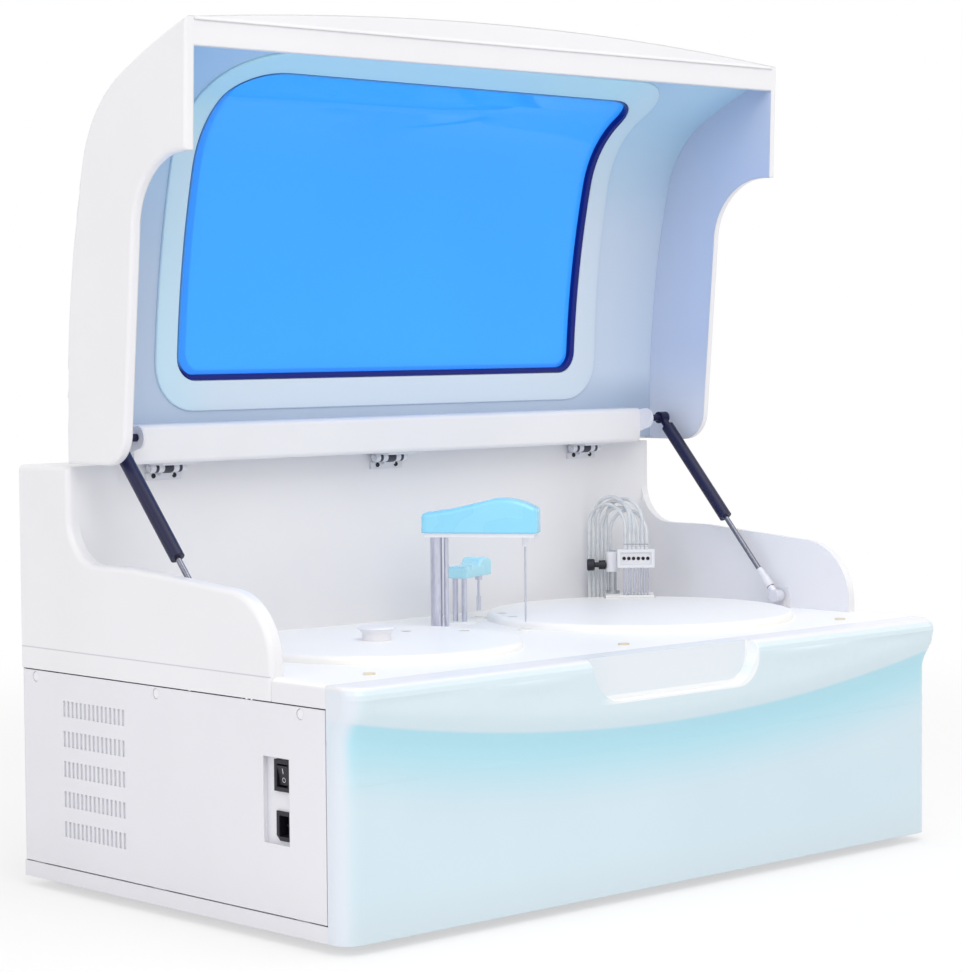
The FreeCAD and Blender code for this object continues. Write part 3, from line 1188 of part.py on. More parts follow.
def discMotors():
    motors = []
    half = s.motor_width / 2
    hub_z = deck_z - s.rotor_top_drop - s.rotor_thickness - s.seat_gap
    rotor_z = deck_z - s.reaction_rotor_drop - s.reaction_rotor_thickness - s.seat_gap
    for word, (x, y), top in (("Sample", sample_axis, hub_z), ("Reaction", reaction_axis, rotor_z)):
        motors.append(fused(word + "Motor", [
            box(word + "_motor_case", (x - half, x + half), (y - half, y + half), (plate_z - s.motor_height, plate_z)),
            cylinder(word + "_motor_shaft", s.motor_shaft_radius, (x, y, plate_z - s.motor_height / 2),
                     top - plate_z + s.motor_height / 2),
        ]))
    keep("disc_motors", grouped("DiscMotors", motors))


# Reaction disc: spoked rotor, square cuvettes and the warm bath that they run in
def reactionRotor():
    top = deck_z - s.reaction_rotor_drop
    thick = s.reaction_rotor_thickness
    half = s.reaction_rim_width / 2
    ring_radius = s.cuvette_ring_radius
    low = plate_z + s.plate_thickness + s.bath_gap
    disc = revolved("reaction_disc", [
        (0, low - top), (s.rotor_hub_radius, low - top), (s.rotor_hub_radius, -thick), (ring_radius + half, -thick),
        (ring_radius + half, 0), (0, 0),
    ], *reaction_axis, top)
    wide = s.cuvette_width / 2 + s.running_fit
    holes = ringBoxes("cuvette_hole", ring_radius, wide, top - thick - s.overrun, top + s.overrun)
    bore = cylinder("reaction_bore", s.motor_shaft_radius + s.spindle_gap, (*reaction_axis, low - s.overrun),
                    top - thick - low + s.overrun)
    windows = []
    for index in range(spoke_count):
        spot = reached(*reaction_axis, ring_radius * spoke_window_share, 360 * index / spoke_count)
        windows.append(cylinder("spoke_window_%d" % index, s.rotor_hub_radius, (*spot, top - thick - s.overrun),
                                thick + s.overrun * 2))
    keep("reaction_rotor", cut("ReactionRotor", disc, holes + [bore] + windows))
    high = top + s.cuvette_rise
    solids = ringBoxes("cuvette_block", ring_radius, s.cuvette_width / 2, high - s.cuvette_height, high)
    cavities = ringBoxes("cuvette_cavity", ring_radius, s.cuvette_width / 2 - s.cuvette_wall,
                         high - s.cuvette_height + s.cuvette_wall, high + s.overrun)
    keep("cuvettes", grouped("Cuvettes", [cut("Cuvette%d" % index, block, [cavity])
                                          for index, (block, cavity) in enumerate(zip(solids, cavities))]))


spoke_count = 6
spoke_window_share = 0.55


def ringBoxes(name, radius, half, low, high):
    solids = []
    for index in range(round(s.cuvette_count.value)):
        degrees = mixing_ring_turn + 360 * index / s.cuvette_count.value
        turn = math.radians(degrees)
        solid = box("%s_%d" % (name, index), (-half, half), (-half, half), (low, high))
        corner_x = s.reaction_x + (radius - half) * math.cos(turn) + half * math.sin(turn)
        corner_y = reaction_y + (radius - half) * math.sin(turn) - half * math.cos(turn)
        place(solid, corner_x, corner_y, low, FreeCAD.Rotation(FreeCAD.Vector(0, 0, 1), degrees))
        solids.append(solid)
    return solids


mixing_ring_turn = math.degrees(math.atan2(dosing_port[1].value - reaction_y.value,
                                           dosing_port[0].value - s.reaction_x.value))


def warmBath():
    wall, gap = s.bath_wall, s.bath_gap
    half = s.cuvette_width / 2 + gap
    top = deck_z - s.reaction_rotor_drop - s.reaction_rotor_thickness - gap
    low = top - s.bath_height
    middle = s.cuvette_ring_radius
    trough = revolved("bath_trough", [
        (middle - half - wall, -s.bath_height), (middle + half + wall, -s.bath_height), (middle + half + wall, 0),
        (middle + half, 0), (middle + half, wall - s.bath_height), (middle - half, wall - s.bath_height),
        (middle - half, 0), (middle - half - wall, 0),
    ], *reaction_axis, top)
    legs = []
    leg_low = plate_z + s.plate_thickness
    for index in range(round(s.bath_leg_count.value)):
        spot = reached(*reaction_axis, middle, 360 * (index + leg_share) / s.bath_leg_count.value)
        legs.append(cylinder("bath_leg_%d" % index, s.bath_leg_radius, (*spot, leg_low), low + wall - leg_low))
    keep("warm_bath", fused("WarmBath", [trough] + legs))


leg_share = 0.5


# Arm turrets, columns, arms and tools
def turret(name, label, axis, shafts):
    radius, edge = s.turret_radius, s.turret_rise
    low = -s.turret_hub_length
    body = revolved(name + "_disc", [
        (0, low), (s.turret_hub_radius, low), (s.turret_hub_radius, 0), (radius, 0), (radius, edge), (0, edge),
    ], *axis, deck_z)
    bores = [cylinder("%s_bore_%d" % (name, index), shaft_radius + s.running_fit,
                      (x, y, deck_z + low - s.overrun), s.turret_hub_length + edge + s.overrun * 2)
             for index, (x, y, shaft_radius) in enumerate(shafts)]
    keep(label, cut(name, body, bores))


# A turning arm's cover: a flat sole, a humped back and rounded edges
def armCover(name, outline, half, radius, axis, z, degrees):
    body = prism(name, "XZ", outline, (-half, half))

    def chosen(edge):
        return edge.BoundBox.Center.z > radius.value
    rounded(body, radius, chosen)
    turn = math.radians(degrees)
    facing = FreeCAD.Rotation(FreeCAD.Vector(0, 0, 1), degrees)
    return place(body, axis[0] - half * math.sin(turn), axis[1] + half * math.cos(turn), z, facing)


def probeArm():
    turn = s.probe_rest_turn.value
    arm_z = deck_z + s.probe_arm_height
    guide = reached(*probe_axis, s.probe_guide_offset, turn)
    turret("ProbeTurret", "probe_turret", probe_axis,
           [(*probe_axis, s.probe_column_radius), (*guide, s.probe_guide_radius)])
    low = deck_z - s.column_below_deck
    keep("probe_column", fused("ProbeColumn", [
        cylinder("probe_shaft", s.probe_column_radius, (*probe_axis, low), arm_z - low),
        cylinder("probe_guide", s.probe_guide_radius, (*guide, low + s.turret_hub_length), arm_z - low - s.turret_hub_length),
        box("probe_yoke", (s.probe_x - s.probe_column_radius, s.probe_x + s.probe_guide_offset),
            (probe_y - s.probe_guide_offset, probe_y + s.probe_column_radius),
            (low + s.turret_hub_length, low + s.turret_hub_length + s.turret_thickness)),
    ]))
    facing = FreeCAD.Rotation(FreeCAD.Vector(0, 0, 1), turn)
    base_half = s.arm_base_half_width
    sine_turn, cosine_turn = math.sin(math.radians(turn)), math.cos(math.radians(turn))
    tail = s.arm_tail - s.cover_skin
    length = tail + s.probe_reach + s.arm_nose - s.cover_skin
    sole = box("arm_sole", (0 * tail, length), (0 * tail, base_half * 2), (arm_z, arm_z + s.arm_base_thickness))
    place(sole, s.probe_x - tail * cosine_turn + base_half * sine_turn,
          probe_y - tail * sine_turn - base_half * cosine_turn, arm_z, facing)
    needle_x, needle_y = needle_place
    bore = cylinder("arm_needle_bore", s.needle_radius + s.running_fit, (needle_x, needle_y, arm_z - s.overrun * 4),
                    s.arm_base_thickness + s.overrun * 5)
    boss = cylinder("arm_needle_boss", s.needle_boss_radius, (needle_x, needle_y, arm_z - s.needle_boss_length),
                    s.needle_boss_length)
    keep("probe_arm_base", cut("ProbeArmBase", fused("arm_base_solid", [sole, boss]), [bore]))
    nose = s.probe_reach + s.arm_nose
    peak = (s.arm_tail + nose) * s.arm_peak_share.value - s.arm_tail
    knee = peak * arm_knee_share
    outline = [
        (-s.arm_tail, 0), (nose, 0), (nose, s.arm_nose_height, s.arm_crown_radius), (peak, s.arm_peak_height),
        (knee, s.arm_tail_height + s.arm_edge_radius), (-s.arm_tail, s.arm_tail_height),
    ]
    keep("probe_arm_cover", armCover("ProbeArmCover", outline, s.arm_cover_half_width, s.arm_edge_radius,
                                     probe_axis, arm_z + s.arm_base_thickness, turn))
    keep("probe_needle", revolved("ProbeNeedle", [
        (0, 0), (s.needle_radius / 2, 0), (s.needle_radius, s.tip_taper),
        (s.needle_radius, arm_z + s.arm_base_thickness - tip_z), (0, arm_z + s.arm_base_thickness - tip_z),
    ], needle_x, needle_y, tip_z))


arm_knee_share = 0.3


def mixerArm():
    turn = s.mixer_rest_turn.value
    arm_z = deck_z + s.mixer_arm_height
    half_pitch = s.mixer_post_pitch / 2
    posts = [reached(*mixer_axis, half_pitch * side, turn + 90) for side in (-1, 1)]
    turret("MixerTurret", "mixer_turret", mixer_axis, [(*post, s.mixer_post_radius) for post in posts])
    low = deck_z - s.mixer_below_deck
    bridge = cylinder("mixer_bridge", half_pitch + s.mixer_post_radius + s.turret_rise, (*mixer_axis, low - s.turret_thickness),
                      s.turret_thickness)
    solids = [cylinder("mixer_post_%d" % index, s.mixer_post_radius, (*post, low), arm_z - low)
              for index, post in enumerate(posts)]
    keep("mixer_posts", fused("MixerPosts", solids + [bridge]))
    nose = s.mixer_reach + s.mixer_nose
    step = nose * s.mixer_step_share.value
    outline = [
        (-s.mixer_tail, 0), (nose, 0), (nose, s.mixer_nose_height - s.mixer_edge_radius),
        (nose - s.mixer_nose, s.mixer_nose_height), (step + s.mixer_nose, s.mixer_nose_height),
        (step, s.mixer_tail_height), (-s.mixer_tail, s.mixer_tail_height),
    ]
    cover = armCover("mixer_cover_solid", outline, s.mixer_half_width, s.mixer_edge_radius, mixer_axis, arm_z, turn)
    shaft_top = arm_z + s.mixer_tail_height / 2
    bore = cylinder("paddle_bore", s.paddle_shaft_radius + s.running_fit, (*paddle_place, arm_z - s.overrun),
                    s.mixer_tail_height / 2 + s.overrun)
    keep("mixer_arm_cover", cut("MixerArmCover", cover, [bore]))
    half, thin = s.paddle_half_width, s.paddle_thickness / 2
    x, y = paddle_place
    keep("mixer_paddle", fused("MixerPaddle", [
        cylinder("paddle_shaft", s.paddle_shaft_radius, (x, y, tip_z + s.paddle_height / 2),
                 shaft_top - s.seat_gap - tip_z - s.paddle_height / 2),
        box("paddle_blade", (x - half, x + half), (y - thin, y + thin), (tip_z, tip_z + s.paddle_height)),
        cylinder("paddle_boss", s.paddle_boss_radius, (x, y, arm_z - s.paddle_boss_length - s.seat_gap),
                 s.paddle_boss_length),
    ]))


def washWells():
    wells = []
    for word, (x, y) in (("Needle", needle_place), ("Paddle", paddle_place)):
        outer = s.well_radius + s.well_wall
        wells.append(revolved(word + "Well", [
            (0, -s.well_depth), (outer, -s.well_depth), (outer, 0), (s.well_flange_radius, 0),
            (s.well_flange_radius, s.well_flange_height), (s.well_radius, s.well_flange_height),
            (s.well_radius, s.well_wall - s.well_depth), (0, s.well_wall - s.well_depth),
        ], x, y, deck_z))
    keep("wash_wells", grouped("WashWells", wells))


# Cuvette wash station: block, post, lifting manifold, thumb screw, nozzles and hoses
def washStation():
    top = deck_z + s.wash_block_height
    block = washBox("wash_block_solid", (-s.wash_block_left, s.wash_block_right),
                    (s.wash_block_front, s.wash_block_rear), (deck_z, top))
    ring_radius = s.cuvette_ring_radius
    slot = washBox("wash_block_slot", (-s.wash_slot_half_length, s.wash_slot_half_length),
                   (ring_radius - s.wash_slot_half_width, ring_radius + s.wash_slot_half_width),
                   (deck_z - s.overrun, top + s.overrun))
    keep("wash_block", cut("WashBlock", block, [slot]))

    post_x, post_y = s.wash_post_x, s.wash_post_radial
    keep("wash_post", fused("WashPost", [
        washCylinder("wash_post_shaft", s.wash_post_radius, post_x, post_y, top,
                     s.wash_post_height - s.wash_block_height),
        washCylinder("wash_post_foot", s.wash_foot_radius, post_x, post_y, top, s.wash_foot_height),
    ]))

    low, high = deck_z + s.manifold_low, deck_z + s.manifold_low + s.manifold_tall
    half, thin = s.manifold_half_length, s.manifold_half_depth
    plate = washBox("manifold_plate", (-half, half), (ring_radius - thin, ring_radius + thin), (low, high))
    inset = s.manifold_window_inset
    recess = washBox("manifold_recess", (inset - half, half - inset),
                     (ring_radius - thin - s.overrun, ring_radius - thin + s.manifold_window_depth),
                     (low + inset, high - inset))
    clamp_low = deck_z + s.clamp_low
    clamp = washCylinder("clamp_boss", s.clamp_radius, post_x, post_y, clamp_low, s.clamp_tall + s.clamp_radius)
    arm_half = s.clamp_arm_half_depth
    arm_across = washBox("clamp_arm", (post_x, -half + arm_half * 2), (post_y - arm_half, post_y + arm_half),
                         (low, clamp_low + s.clamp_tall + s.clamp_radius))
    arm_forward = washBox("clamp_elbow", (-half, -half + arm_half * 2), (ring_radius, post_y + arm_half),
                          (low, clamp_low + s.clamp_tall + s.clamp_radius))
    sleeve = washCylinder("clamp_sleeve", s.wash_post_radius + s.running_fit, post_x, post_y,
                          clamp_low - s.overrun, s.clamp_tall + s.clamp_radius + s.overrun * 2)
    tools = [recess, sleeve]
    for index in range(round(s.nozzle_count.value)):
        along = s.nozzle_pitch * (index - (s.nozzle_count.value - 1) / 2)
        tools.append(washCylinder("nozzle_bore_%d" % index, s.nozzle_radius + s.running_fit, along, ring_radius,
                                  low - s.overrun, s.manifold_tall + s.overrun * 2))
    screw_z = clamp_low + s.clamp_tall / 2
    facing = FreeCAD.Rotation(FreeCAD.Vector(0, 0, 1), s.wash_bearing.value - 90).multiply(
        FreeCAD.Rotation(FreeCAD.Vector(0, 1, 0), -90))
    screw_start = post_x - s.wash_post_radius - s.seat_gap
    hole = cylinder("screw_hole", s.thumb_neck_radius + s.running_fit, (0, 0, 0), s.clamp_radius + s.overrun)
    place(hole, s.reaction_x + washX(screw_start + s.seat_gap, post_y),
          reaction_y + washY(screw_start + s.seat_gap, post_y), screw_z, facing)
    tools.append(hole)
    keep("wash_manifold", cut("WashManifold", fused("manifold_solid", [plate, clamp, arm_across, arm_forward]), tools))

    neck, collar, head = s.thumb_neck_radius, s.thumb_collar_radius, s.thumb_head_radius
    first = s.clamp_radius - s.wash_post_radius + s.seat_gap
    second = first + s.thumb_collar_length
    third = second + s.thumb_neck_length
    last = third + s.thumb_head_length
    screw = revolved("WashThumbScrew", [
        (0, 0), (neck, 0), (neck, first), (collar, first), (collar, second), (neck, second), (neck, third),
        (head - s.thumb_groove, third), (head, third + s.thumb_groove), (head, last - s.thumb_groove),
        (head - s.thumb_groove, last), (0, last),
    ])
    place(screw, s.reaction_x + washX(screw_start, post_y), reaction_y + washY(screw_start, post_y), screw_z, facing)
    keep("wash_thumb_screw", screw)

    nozzles = []
    tip = deck_z + s.nozzle_tip_rise - s.wash_block_height
    for index in range(round(s.nozzle_count.value)):
        along = s.nozzle_pitch * (index - (s.nozzle_count.value - 1) / 2)
        nozzles.append(washCylinder("Nozzle%d" % index, s.nozzle_radius, along, ring_radius, tip,
                                    high - s.seat_gap - tip))
    keep("wash_nozzles", grouped("WashNozzles", nozzles))


# Clear hoses from the manifold's top, over an arch and down through the deck behind the post
def washHoses():
    hoses = []
    start_z = deck_z + s.manifold_low + s.manifold_tall
    for index, peak_share in enumerate(hose_peak_shares):
        along = s.hose_pitch * (index - (len(hose_peak_shares) - 1) / 2)
        first = (s.reaction_x + washX(along, s.cuvette_ring_radius), reaction_y + washY(along, s.cuvette_ring_radius))
        last = (s.reaction_x + washX(along - s.hose_shift, s.hose_rear_radial),
                reaction_y + washY(along - s.hose_shift, s.hose_rear_radial))
        across = math.hypot(last[0].value - first[0].value, last[1].value - first[1].value)
        radius = across / 2
        peak = deck_z.value + s.hose_peak.value * peak_share
        middle = [(first[0].value + last[0].value) / 2, (first[1].value + last[1].value) / 2]
        starting = FreeCAD.Vector(first[0].value, first[1].value, start_z.value)
        rising = FreeCAD.Vector(first[0].value, first[1].value, peak - radius)
        crown = FreeCAD.Vector(middle[0], middle[1], peak)
        falling = FreeCAD.Vector(last[0].value, last[1].value, peak - radius)
        ending = FreeCAD.Vector(last[0].value, last[1].value, deck_z.value - s.hose_tail.value)
        path = Part.Wire([Part.LineSegment(starting, rising).toShape(), Part.Arc(rising, crown, falling).toShape(),
                          Part.LineSegment(falling, ending).toShape()])
        section = Part.Wire(Part.Circle(starting, FreeCAD.Vector(0, 0, 1), s.hose_radius.value).toShape())
        hose = doc.addObject("Part::Feature", "WashHose%d" % index)
        hose.Shape = path.makePipeShell([section], True, True)
        expected = math.pi * s.hose_radius.value ** 2 * path.Length
        print("hose %d bend radius %.1f, volume share %.4f" % (index, radius, hose.Shape.Volume / expected))
        hoses.append(hose)
    keep("wash_hoses", grouped("WashHoses", hoses))


hose_peak_shares = (0.93, 1.0, 0.96, 0.9, 0.98, 0.87)


# Round plugs over the deck's fixing screws
def deckPlugs():
    places = [(half_width * share - s.plug_side_inset * share, front_y + s.plug_front_depth)
              for share in (-1, 0, 1)]
    keep("deck_plugs", grouped("DeckPlugs", [
        cylinder("DeckPlug%d" % index, s.plug_radius, (x, y, deck_z), s.plug_height)
        for index, (x, y) in enumerate(places)]))


# Working parts inside the base
def powerSupply():
    x, y = s.supply_x, front_y + s.supply_depth
    keep("power_supply", box("PowerSupply", (x - s.supply_width / 2, x + s.supply_width / 2),
                             (y, y + s.supply_length), (floor_z, floor_z + s.supply_height)))


def controlBoard():
    x, y = s.board_x, front_y + s.board_depth
    half = s.board_length / 2
    low = floor_z + s.board_standoff
    high = low + s.board_thickness
    solids = [box("board_sheet", (x - half, x + half), (y, y + s.board_width), (low, high))]
    margin = s.board_margin
    for index, (px, py) in enumerate([(x - half + margin, y + margin), (x + half - margin, y + margin),
                                      (x + half - margin, y + s.board_width - margin),
                                      (x - half + margin, y + s.board_width - margin)]):
        solids.append(cylinder("board_standoff_%d" % index, s.board_standoff_radius, (px, py, floor_z),
                               s.board_standoff))
    for index in range(3):
        chip_x = x - half + s.connector_length + s.chip_size * index * 2
        solids.append(box("board_chip_%d" % index, (chip_x, chip_x + s.chip_size),
                          (y + s.board_width / 2, y + s.board_width / 2 + s.chip_size), (high, high + s.chip_height)))
        solids.append(box("board_connector_%d" % index, (chip_x, chip_x + s.connector_length),
                          (y + margin * 2, y + margin * 2 + s.connector_height), (high, high + s.connector_height)))
    keep("control_board", fused("ControlBoard", solids))


def syringePump():
    x, y = s.pump_x, front_y + s.pump_depth
    half = s.pump_width / 2
    front = y - s.pump_barrel_radius - s.pump_travel_gap
    high = floor_z + s.pump_height
    barrel_low = high - s.pump_barrel_length - s.pump_travel_gap
    keep("syringe_pump", fused("SyringePump", [
        box("pump_case", (x - half, x + half), (y, y + s.pump_depth_size), (floor_z, high)),
        cylinder("pump_barrel", s.pump_barrel_radius, (x, front, barrel_low), s.pump_barrel_length),
        box("pump_shelf_high", (x - half, x + half), (front - s.pump_barrel_radius, y),
            (high - s.pump_travel_gap, high)),
        box("pump_shelf_low", (x - half, x + half), (front - s.pump_barrel_radius, y),
            (barrel_low - s.pump_travel_gap, barrel_low)),
    ]))


def photometer():
    half = s.photometer_width / 2
    low = plate_z + s.plate_thickness
    y = reaction_y - s.cuvette_ring_radius + s.rotor_hub_radius
    keep("photometer", fused("Photometer", [
        box("photometer_case", (s.reaction_x - half, s.reaction_x + half), (y, y + s.photometer_depth_size),
            (low, low + s.photometer_height)),
        cylinder("photometer_lamp", s.lamp_radius, (s.reaction_x, y + s.photometer_depth_size,
                                                    low + s.lamp_radius + s.overrun), s.lamp_length, "Y"),
    ]))


def fan():
    inner = rear_y - s.panel_sheet
    half = s.fan_width / 2
    x, z = s.fan_x, base_z + s.fan_height
    case = box("fan_case", (x - half, x + half), (inner - s.fan_thickness, inner), (z - half, z + half))
    bore = cylinder("fan_bore", s.fan_bore_radius, (x, inner - s.fan_thickness - s.overrun, z),
                    s.fan_thickness + s.overrun * 2, "Y")
    frame = cut("fan_ring", case, [bore])
    low = inner - s.fan_thickness
    arm = s.fan_arm_width / 2
    spokes = [box("fan_spoke_across", (x - s.fan_bore_radius - arm, x + s.fan_bore_radius + arm),
                  (low, low + s.fan_arm_width / 2), (z - arm, z + arm)),
              box("fan_spoke_up", (x - arm, x + arm), (low, low + s.fan_arm_width / 2),
                  (z - s.fan_bore_radius - arm, z + s.fan_bore_radius + arm)),
              cylinder("fan_spindle", s.fan_spindle_radius, (x, low, z), s.fan_thickness - s.fan_arm_width, "Y")]
    keep("fan_frame", fused("FanFrame", [frame] + spokes))
    start = low + s.fan_arm_width / 2 + s.fan_blade_gap
    length = s.fan_thickness - s.fan_arm_width / 2 - s.fan_blade_gap * 2
    hub = cylinder("fan_hub", s.fan_hub_radius, (x, start, z), length, "Y")
    blades = []
    reach = s.fan_bore_radius - s.fan_blade_gap
    for index in range(round(s.fan_blade_count.value)):
        degrees = 360 * index / s.fan_blade_count.value
        blade = box("fan_blade_%d" % index, (0, reach), (0, s.fan_blade_thickness), (0, length))
        facing = FreeCAD.Rotation(FreeCAD.Vector(0, 1, 0), degrees).multiply(
            FreeCAD.Rotation(FreeCAD.Vector(1, 0, 0), -90))
        blades.append(place(blade, x, start, z, facing))
    bore = cylinder("fan_hub_bore", s.fan_spindle_radius + s.running_fit, (x, start - s.overrun, z),
                    s.fan_thickness - s.fan_arm_width - s.fan_arm_width / 2 - s.fan_blade_gap + s.overrun + s.seat_gap,
                    "Y")
    keep("fan_rotor", cut("FanRotor", fused("fan_rotor_solid", [hub] + blades), [bore]))


baseTray()
feet()
framePosts()
mountingPlate()
upperHousing()
deckPanel()
frontPanel()
sidePanels()
rearPanel()
keep("panel_screws", grouped("PanelScrews", panelScrews()))
powerEntry()
lidShell()
lidLiner()
lidWindow()
windowGasket()
rearBar()
hinges()
struts()
strutFixings()
sampleCover()
reactionCover()
sampleRotor()
discMotors()
reactionRotor()
warmBath()
probeArm()
mixerArm()
washWells()
washStation()
washHoses()
deckPlugs()
powerSupply()
controlBoard()
syringePump()
photometer()
fan()
doc.recompute()

failed = [item.Name for item in doc.Objects if "Invalid" in item.State or "Error" in item.State]
if failed:
    raise RuntimeError("objects that did not build: " + ", ".join(failed))
bad = [name for name, solid in nodes.items() if solid.Shape.isNull() or not solid.Shape.isValid()]
if bad:
    raise RuntimeError("solids that are not valid: " + ", ".join(bad))

os.makedirs("parts", exist_ok=True)
for name, solid in nodes.items():
    solid.Shape.exportStep("parts/%s.step" % name)
print("%d nodes written" % len(nodes))
tip = lidPoint(lid_turns[-1], sized(0))
print("strut length %.3f, lean %.3f, lid tip %.2f %.2f" % (strut_length, strut_lean, tip[0].value, tip[1].value))
print("dosing turn %.3f, mixing turn %.3f" % (dosing_turn, mixing_turn))
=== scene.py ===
import bpy
import bmesh
import json
import math
from mathutils import Matrix, Vector
from mathutils.bvhtree import BVHTree


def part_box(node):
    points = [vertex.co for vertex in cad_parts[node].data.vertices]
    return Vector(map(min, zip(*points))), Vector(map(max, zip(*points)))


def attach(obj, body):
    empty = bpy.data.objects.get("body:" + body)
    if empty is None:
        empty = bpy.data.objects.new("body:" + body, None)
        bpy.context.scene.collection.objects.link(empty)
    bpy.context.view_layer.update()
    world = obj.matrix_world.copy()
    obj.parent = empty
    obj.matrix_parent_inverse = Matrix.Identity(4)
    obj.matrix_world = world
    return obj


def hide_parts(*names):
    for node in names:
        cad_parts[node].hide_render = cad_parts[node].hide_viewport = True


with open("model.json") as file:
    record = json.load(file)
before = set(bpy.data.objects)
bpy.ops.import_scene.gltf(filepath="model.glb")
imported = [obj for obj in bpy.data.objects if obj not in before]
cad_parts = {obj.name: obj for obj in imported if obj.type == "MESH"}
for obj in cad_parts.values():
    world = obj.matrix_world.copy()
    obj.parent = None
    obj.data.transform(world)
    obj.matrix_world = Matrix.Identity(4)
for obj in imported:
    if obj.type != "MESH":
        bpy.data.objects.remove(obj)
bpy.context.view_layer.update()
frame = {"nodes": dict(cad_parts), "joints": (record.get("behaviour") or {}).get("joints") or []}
nodes = frame["nodes"]
jointNamed = {joint["name"]: joint for joint in frame["joints"]}
hinge = tuple(jointNamed["lid_hinge"]["pos_m"])
reactionAxis = tuple(jointNamed["reaction_disc_spin"]["pos_m"])
print("frame loaded,", len(nodes), "nodes")


def srgb(red, green, blue):
    def linear(value):
        value /= 255
        return value / 12.92 if value <= 0.04045 else ((value + 0.055) / 1.055) ** 2.4
    return (linear(red), linear(green), linear(blue), 1.0)


def dimmed(tone, share):
    return tuple(channel * share for channel in tone[:3]) + (1.0,)


# One shader socket in arithmetic; make is the node maker of its material
class Wire:
    def __init__(self, make, socket):
        self.make = make
        self.socket = socket

    def math(self, operation, other=None, swapped=False):
        pair = (other, self) if swapped else (self, other)
        values = {index: value for index, value in enumerate(pair) if value is not None}
        return self.make("ShaderNodeMath", {"operation": operation}, values)

    def __add__(self, other):
        return self.math("ADD", other)

    def __radd__(self, other):
        return self.math("ADD", other, True)

    def __sub__(self, other):
        return self.math("SUBTRACT", other)

    def __rsub__(self, other):
        return self.math("SUBTRACT", other, True)

    def __mul__(self, other):
        return self.math("MULTIPLY", other)

    def __rmul__(self, other):
        return self.math("MULTIPLY", other, True)

    def __truediv__(self, other):
        return self.math("DIVIDE", other)

    def __rtruediv__(self, other):
        return self.math("DIVIDE", other, True)

    def __pow__(self, other):
        return self.math("POWER", other)

    def __rpow__(self, other):
        return self.math("POWER", other, True)

    def __abs__(self):
        return self.math("ABSOLUTE")

    def most(self, other):
        return self.math("MAXIMUM", other)

    # 0 below low, 1 above high, smooth between
    def step(self, low, high):
        sockets = {"Value": self, "From Min": low, "From Max": high}
        return self.make("ShaderNodeMapRange", {"interpolation_type": "SMOOTHSTEP"}, sockets)

    # A value from 0 to 1 stretched to run from low to high
    def spanned(self, low, high):
        return self * (high - low) + low

    # Two tones mixed by this share
    def blend(self, first, second):
        return self.make("ShaderNodeMix", {"data_type": "RGBA"}, {0: self, 6: first, 7: second}, 2)

    def part(self, name):
        return self.make("ShaderNodeSeparateXYZ", {}, {0: self}, name.upper())


# The one method that adds any other node: its type, its settings and the values or wires of its sockets
def maker(tree):
    def make(kind, settings, sockets, output=0):
        node = tree.nodes.new(kind)
        for name, value in settings.items():
            setattr(node, name, value)
        for name, value in sockets.items():
            if isinstance(value, Wire):
                tree.links.new(value.socket, node.inputs[name])
            else:
                node.inputs[name].default_value = value
        return Wire(make, node.outputs[output])
    return make


# A material from values fixed on its shader and a recipe, which gets the node maker and the place shaded
def finish(name, recipe, fixed):
    material = bpy.data.materials.new(name)
    material.use_nodes = True
    tree = material.node_tree
    shader = tree.nodes["Principled BSDF"]
    for socket, value in fixed.items():
        shader.inputs[socket].default_value = value
    make = maker(tree)
    place = make("ShaderNodeTexCoord", {}, {}, "Object")
    for socket, wire in recipe(make, place).items():
        tree.links.new(wire.socket, shader.inputs[socket])
    return material


def noise(make, place, scale, detail=2.0, rough=0.5):
    sockets = {"Vector": place, "Scale": scale, "Detail": detail, "Roughness": rough}
    return make("ShaderNodeTexNoise", {}, sockets)


def stretched(make, place, scale):
    return make("ShaderNodeMapping", {}, {"Vector": place, "Scale": scale})


# What many finishes share: noise scales per metre, the noise levels that colour patches fade between, and
# the relief's height and the radius of broken edges in metres
common = {
    "grainScale": 900.0, "cloud": (0.3, 0.75), "sharpCloud": (0.35, 0.7), "relief": 0.0004, "edge": 0.0007,
    "edgeRays": 4, "dustTone": srgb(196, 198, 202), "dustHeights": (0.01, 0.09), "dustSpecks": (0.3, 0.8),
    "skinScale": 7.0, "wipeScale": 26.0, "wipeStretch": (1.0, 6.0, 9.0), "wipeDetail": 4.0,
    "brushScale": 90.0, "hazeScale": 30.0, "detail": 3.0,
}


# Surface relief over edges that are broken to a small radius
def bump(make, height, strength, distance=common["relief"], edge=common["edge"]):
    broken = make("ShaderNodeBevel", {"samples": common["edgeRays"]}, {"Radius": edge})
    sockets = {"Height": height, "Strength": strength, "Distance": distance, "Normal": broken}
    return make("ShaderNodeBump", {}, sockets)


# Painted or plastic skin: slow colour drift, fine grain, wiping marks and a trace of dust low down
def skin(base, drift, rough=(0.3, 0.42), scale=common["grainScale"], grain=0.05, dust=0.0,
         edge=common["edge"]):
    def recipe(make, place):
        slow = noise(make, place, common["skinScale"])
        fine = noise(make, place, scale)
        wiped = stretched(make, place, common["wipeStretch"])
        wipe = noise(make, wiped, common["wipeScale"], common["wipeDetail"])
        colour = slow.step(*common["sharpCloud"]).blend(base, dimmed(base, 1 - drift))
        if dust:
            low = 1 - place.part("z").step(*common["dustHeights"])
            colour = (low * fine.step(*common["dustSpecks"]) * dust).blend(colour, common["dustTone"])
        return {"Base Color": colour, "Roughness": wipe.spanned(*rough),
                "Normal": bump(make, fine, grain, edge=edge)}
    return recipe


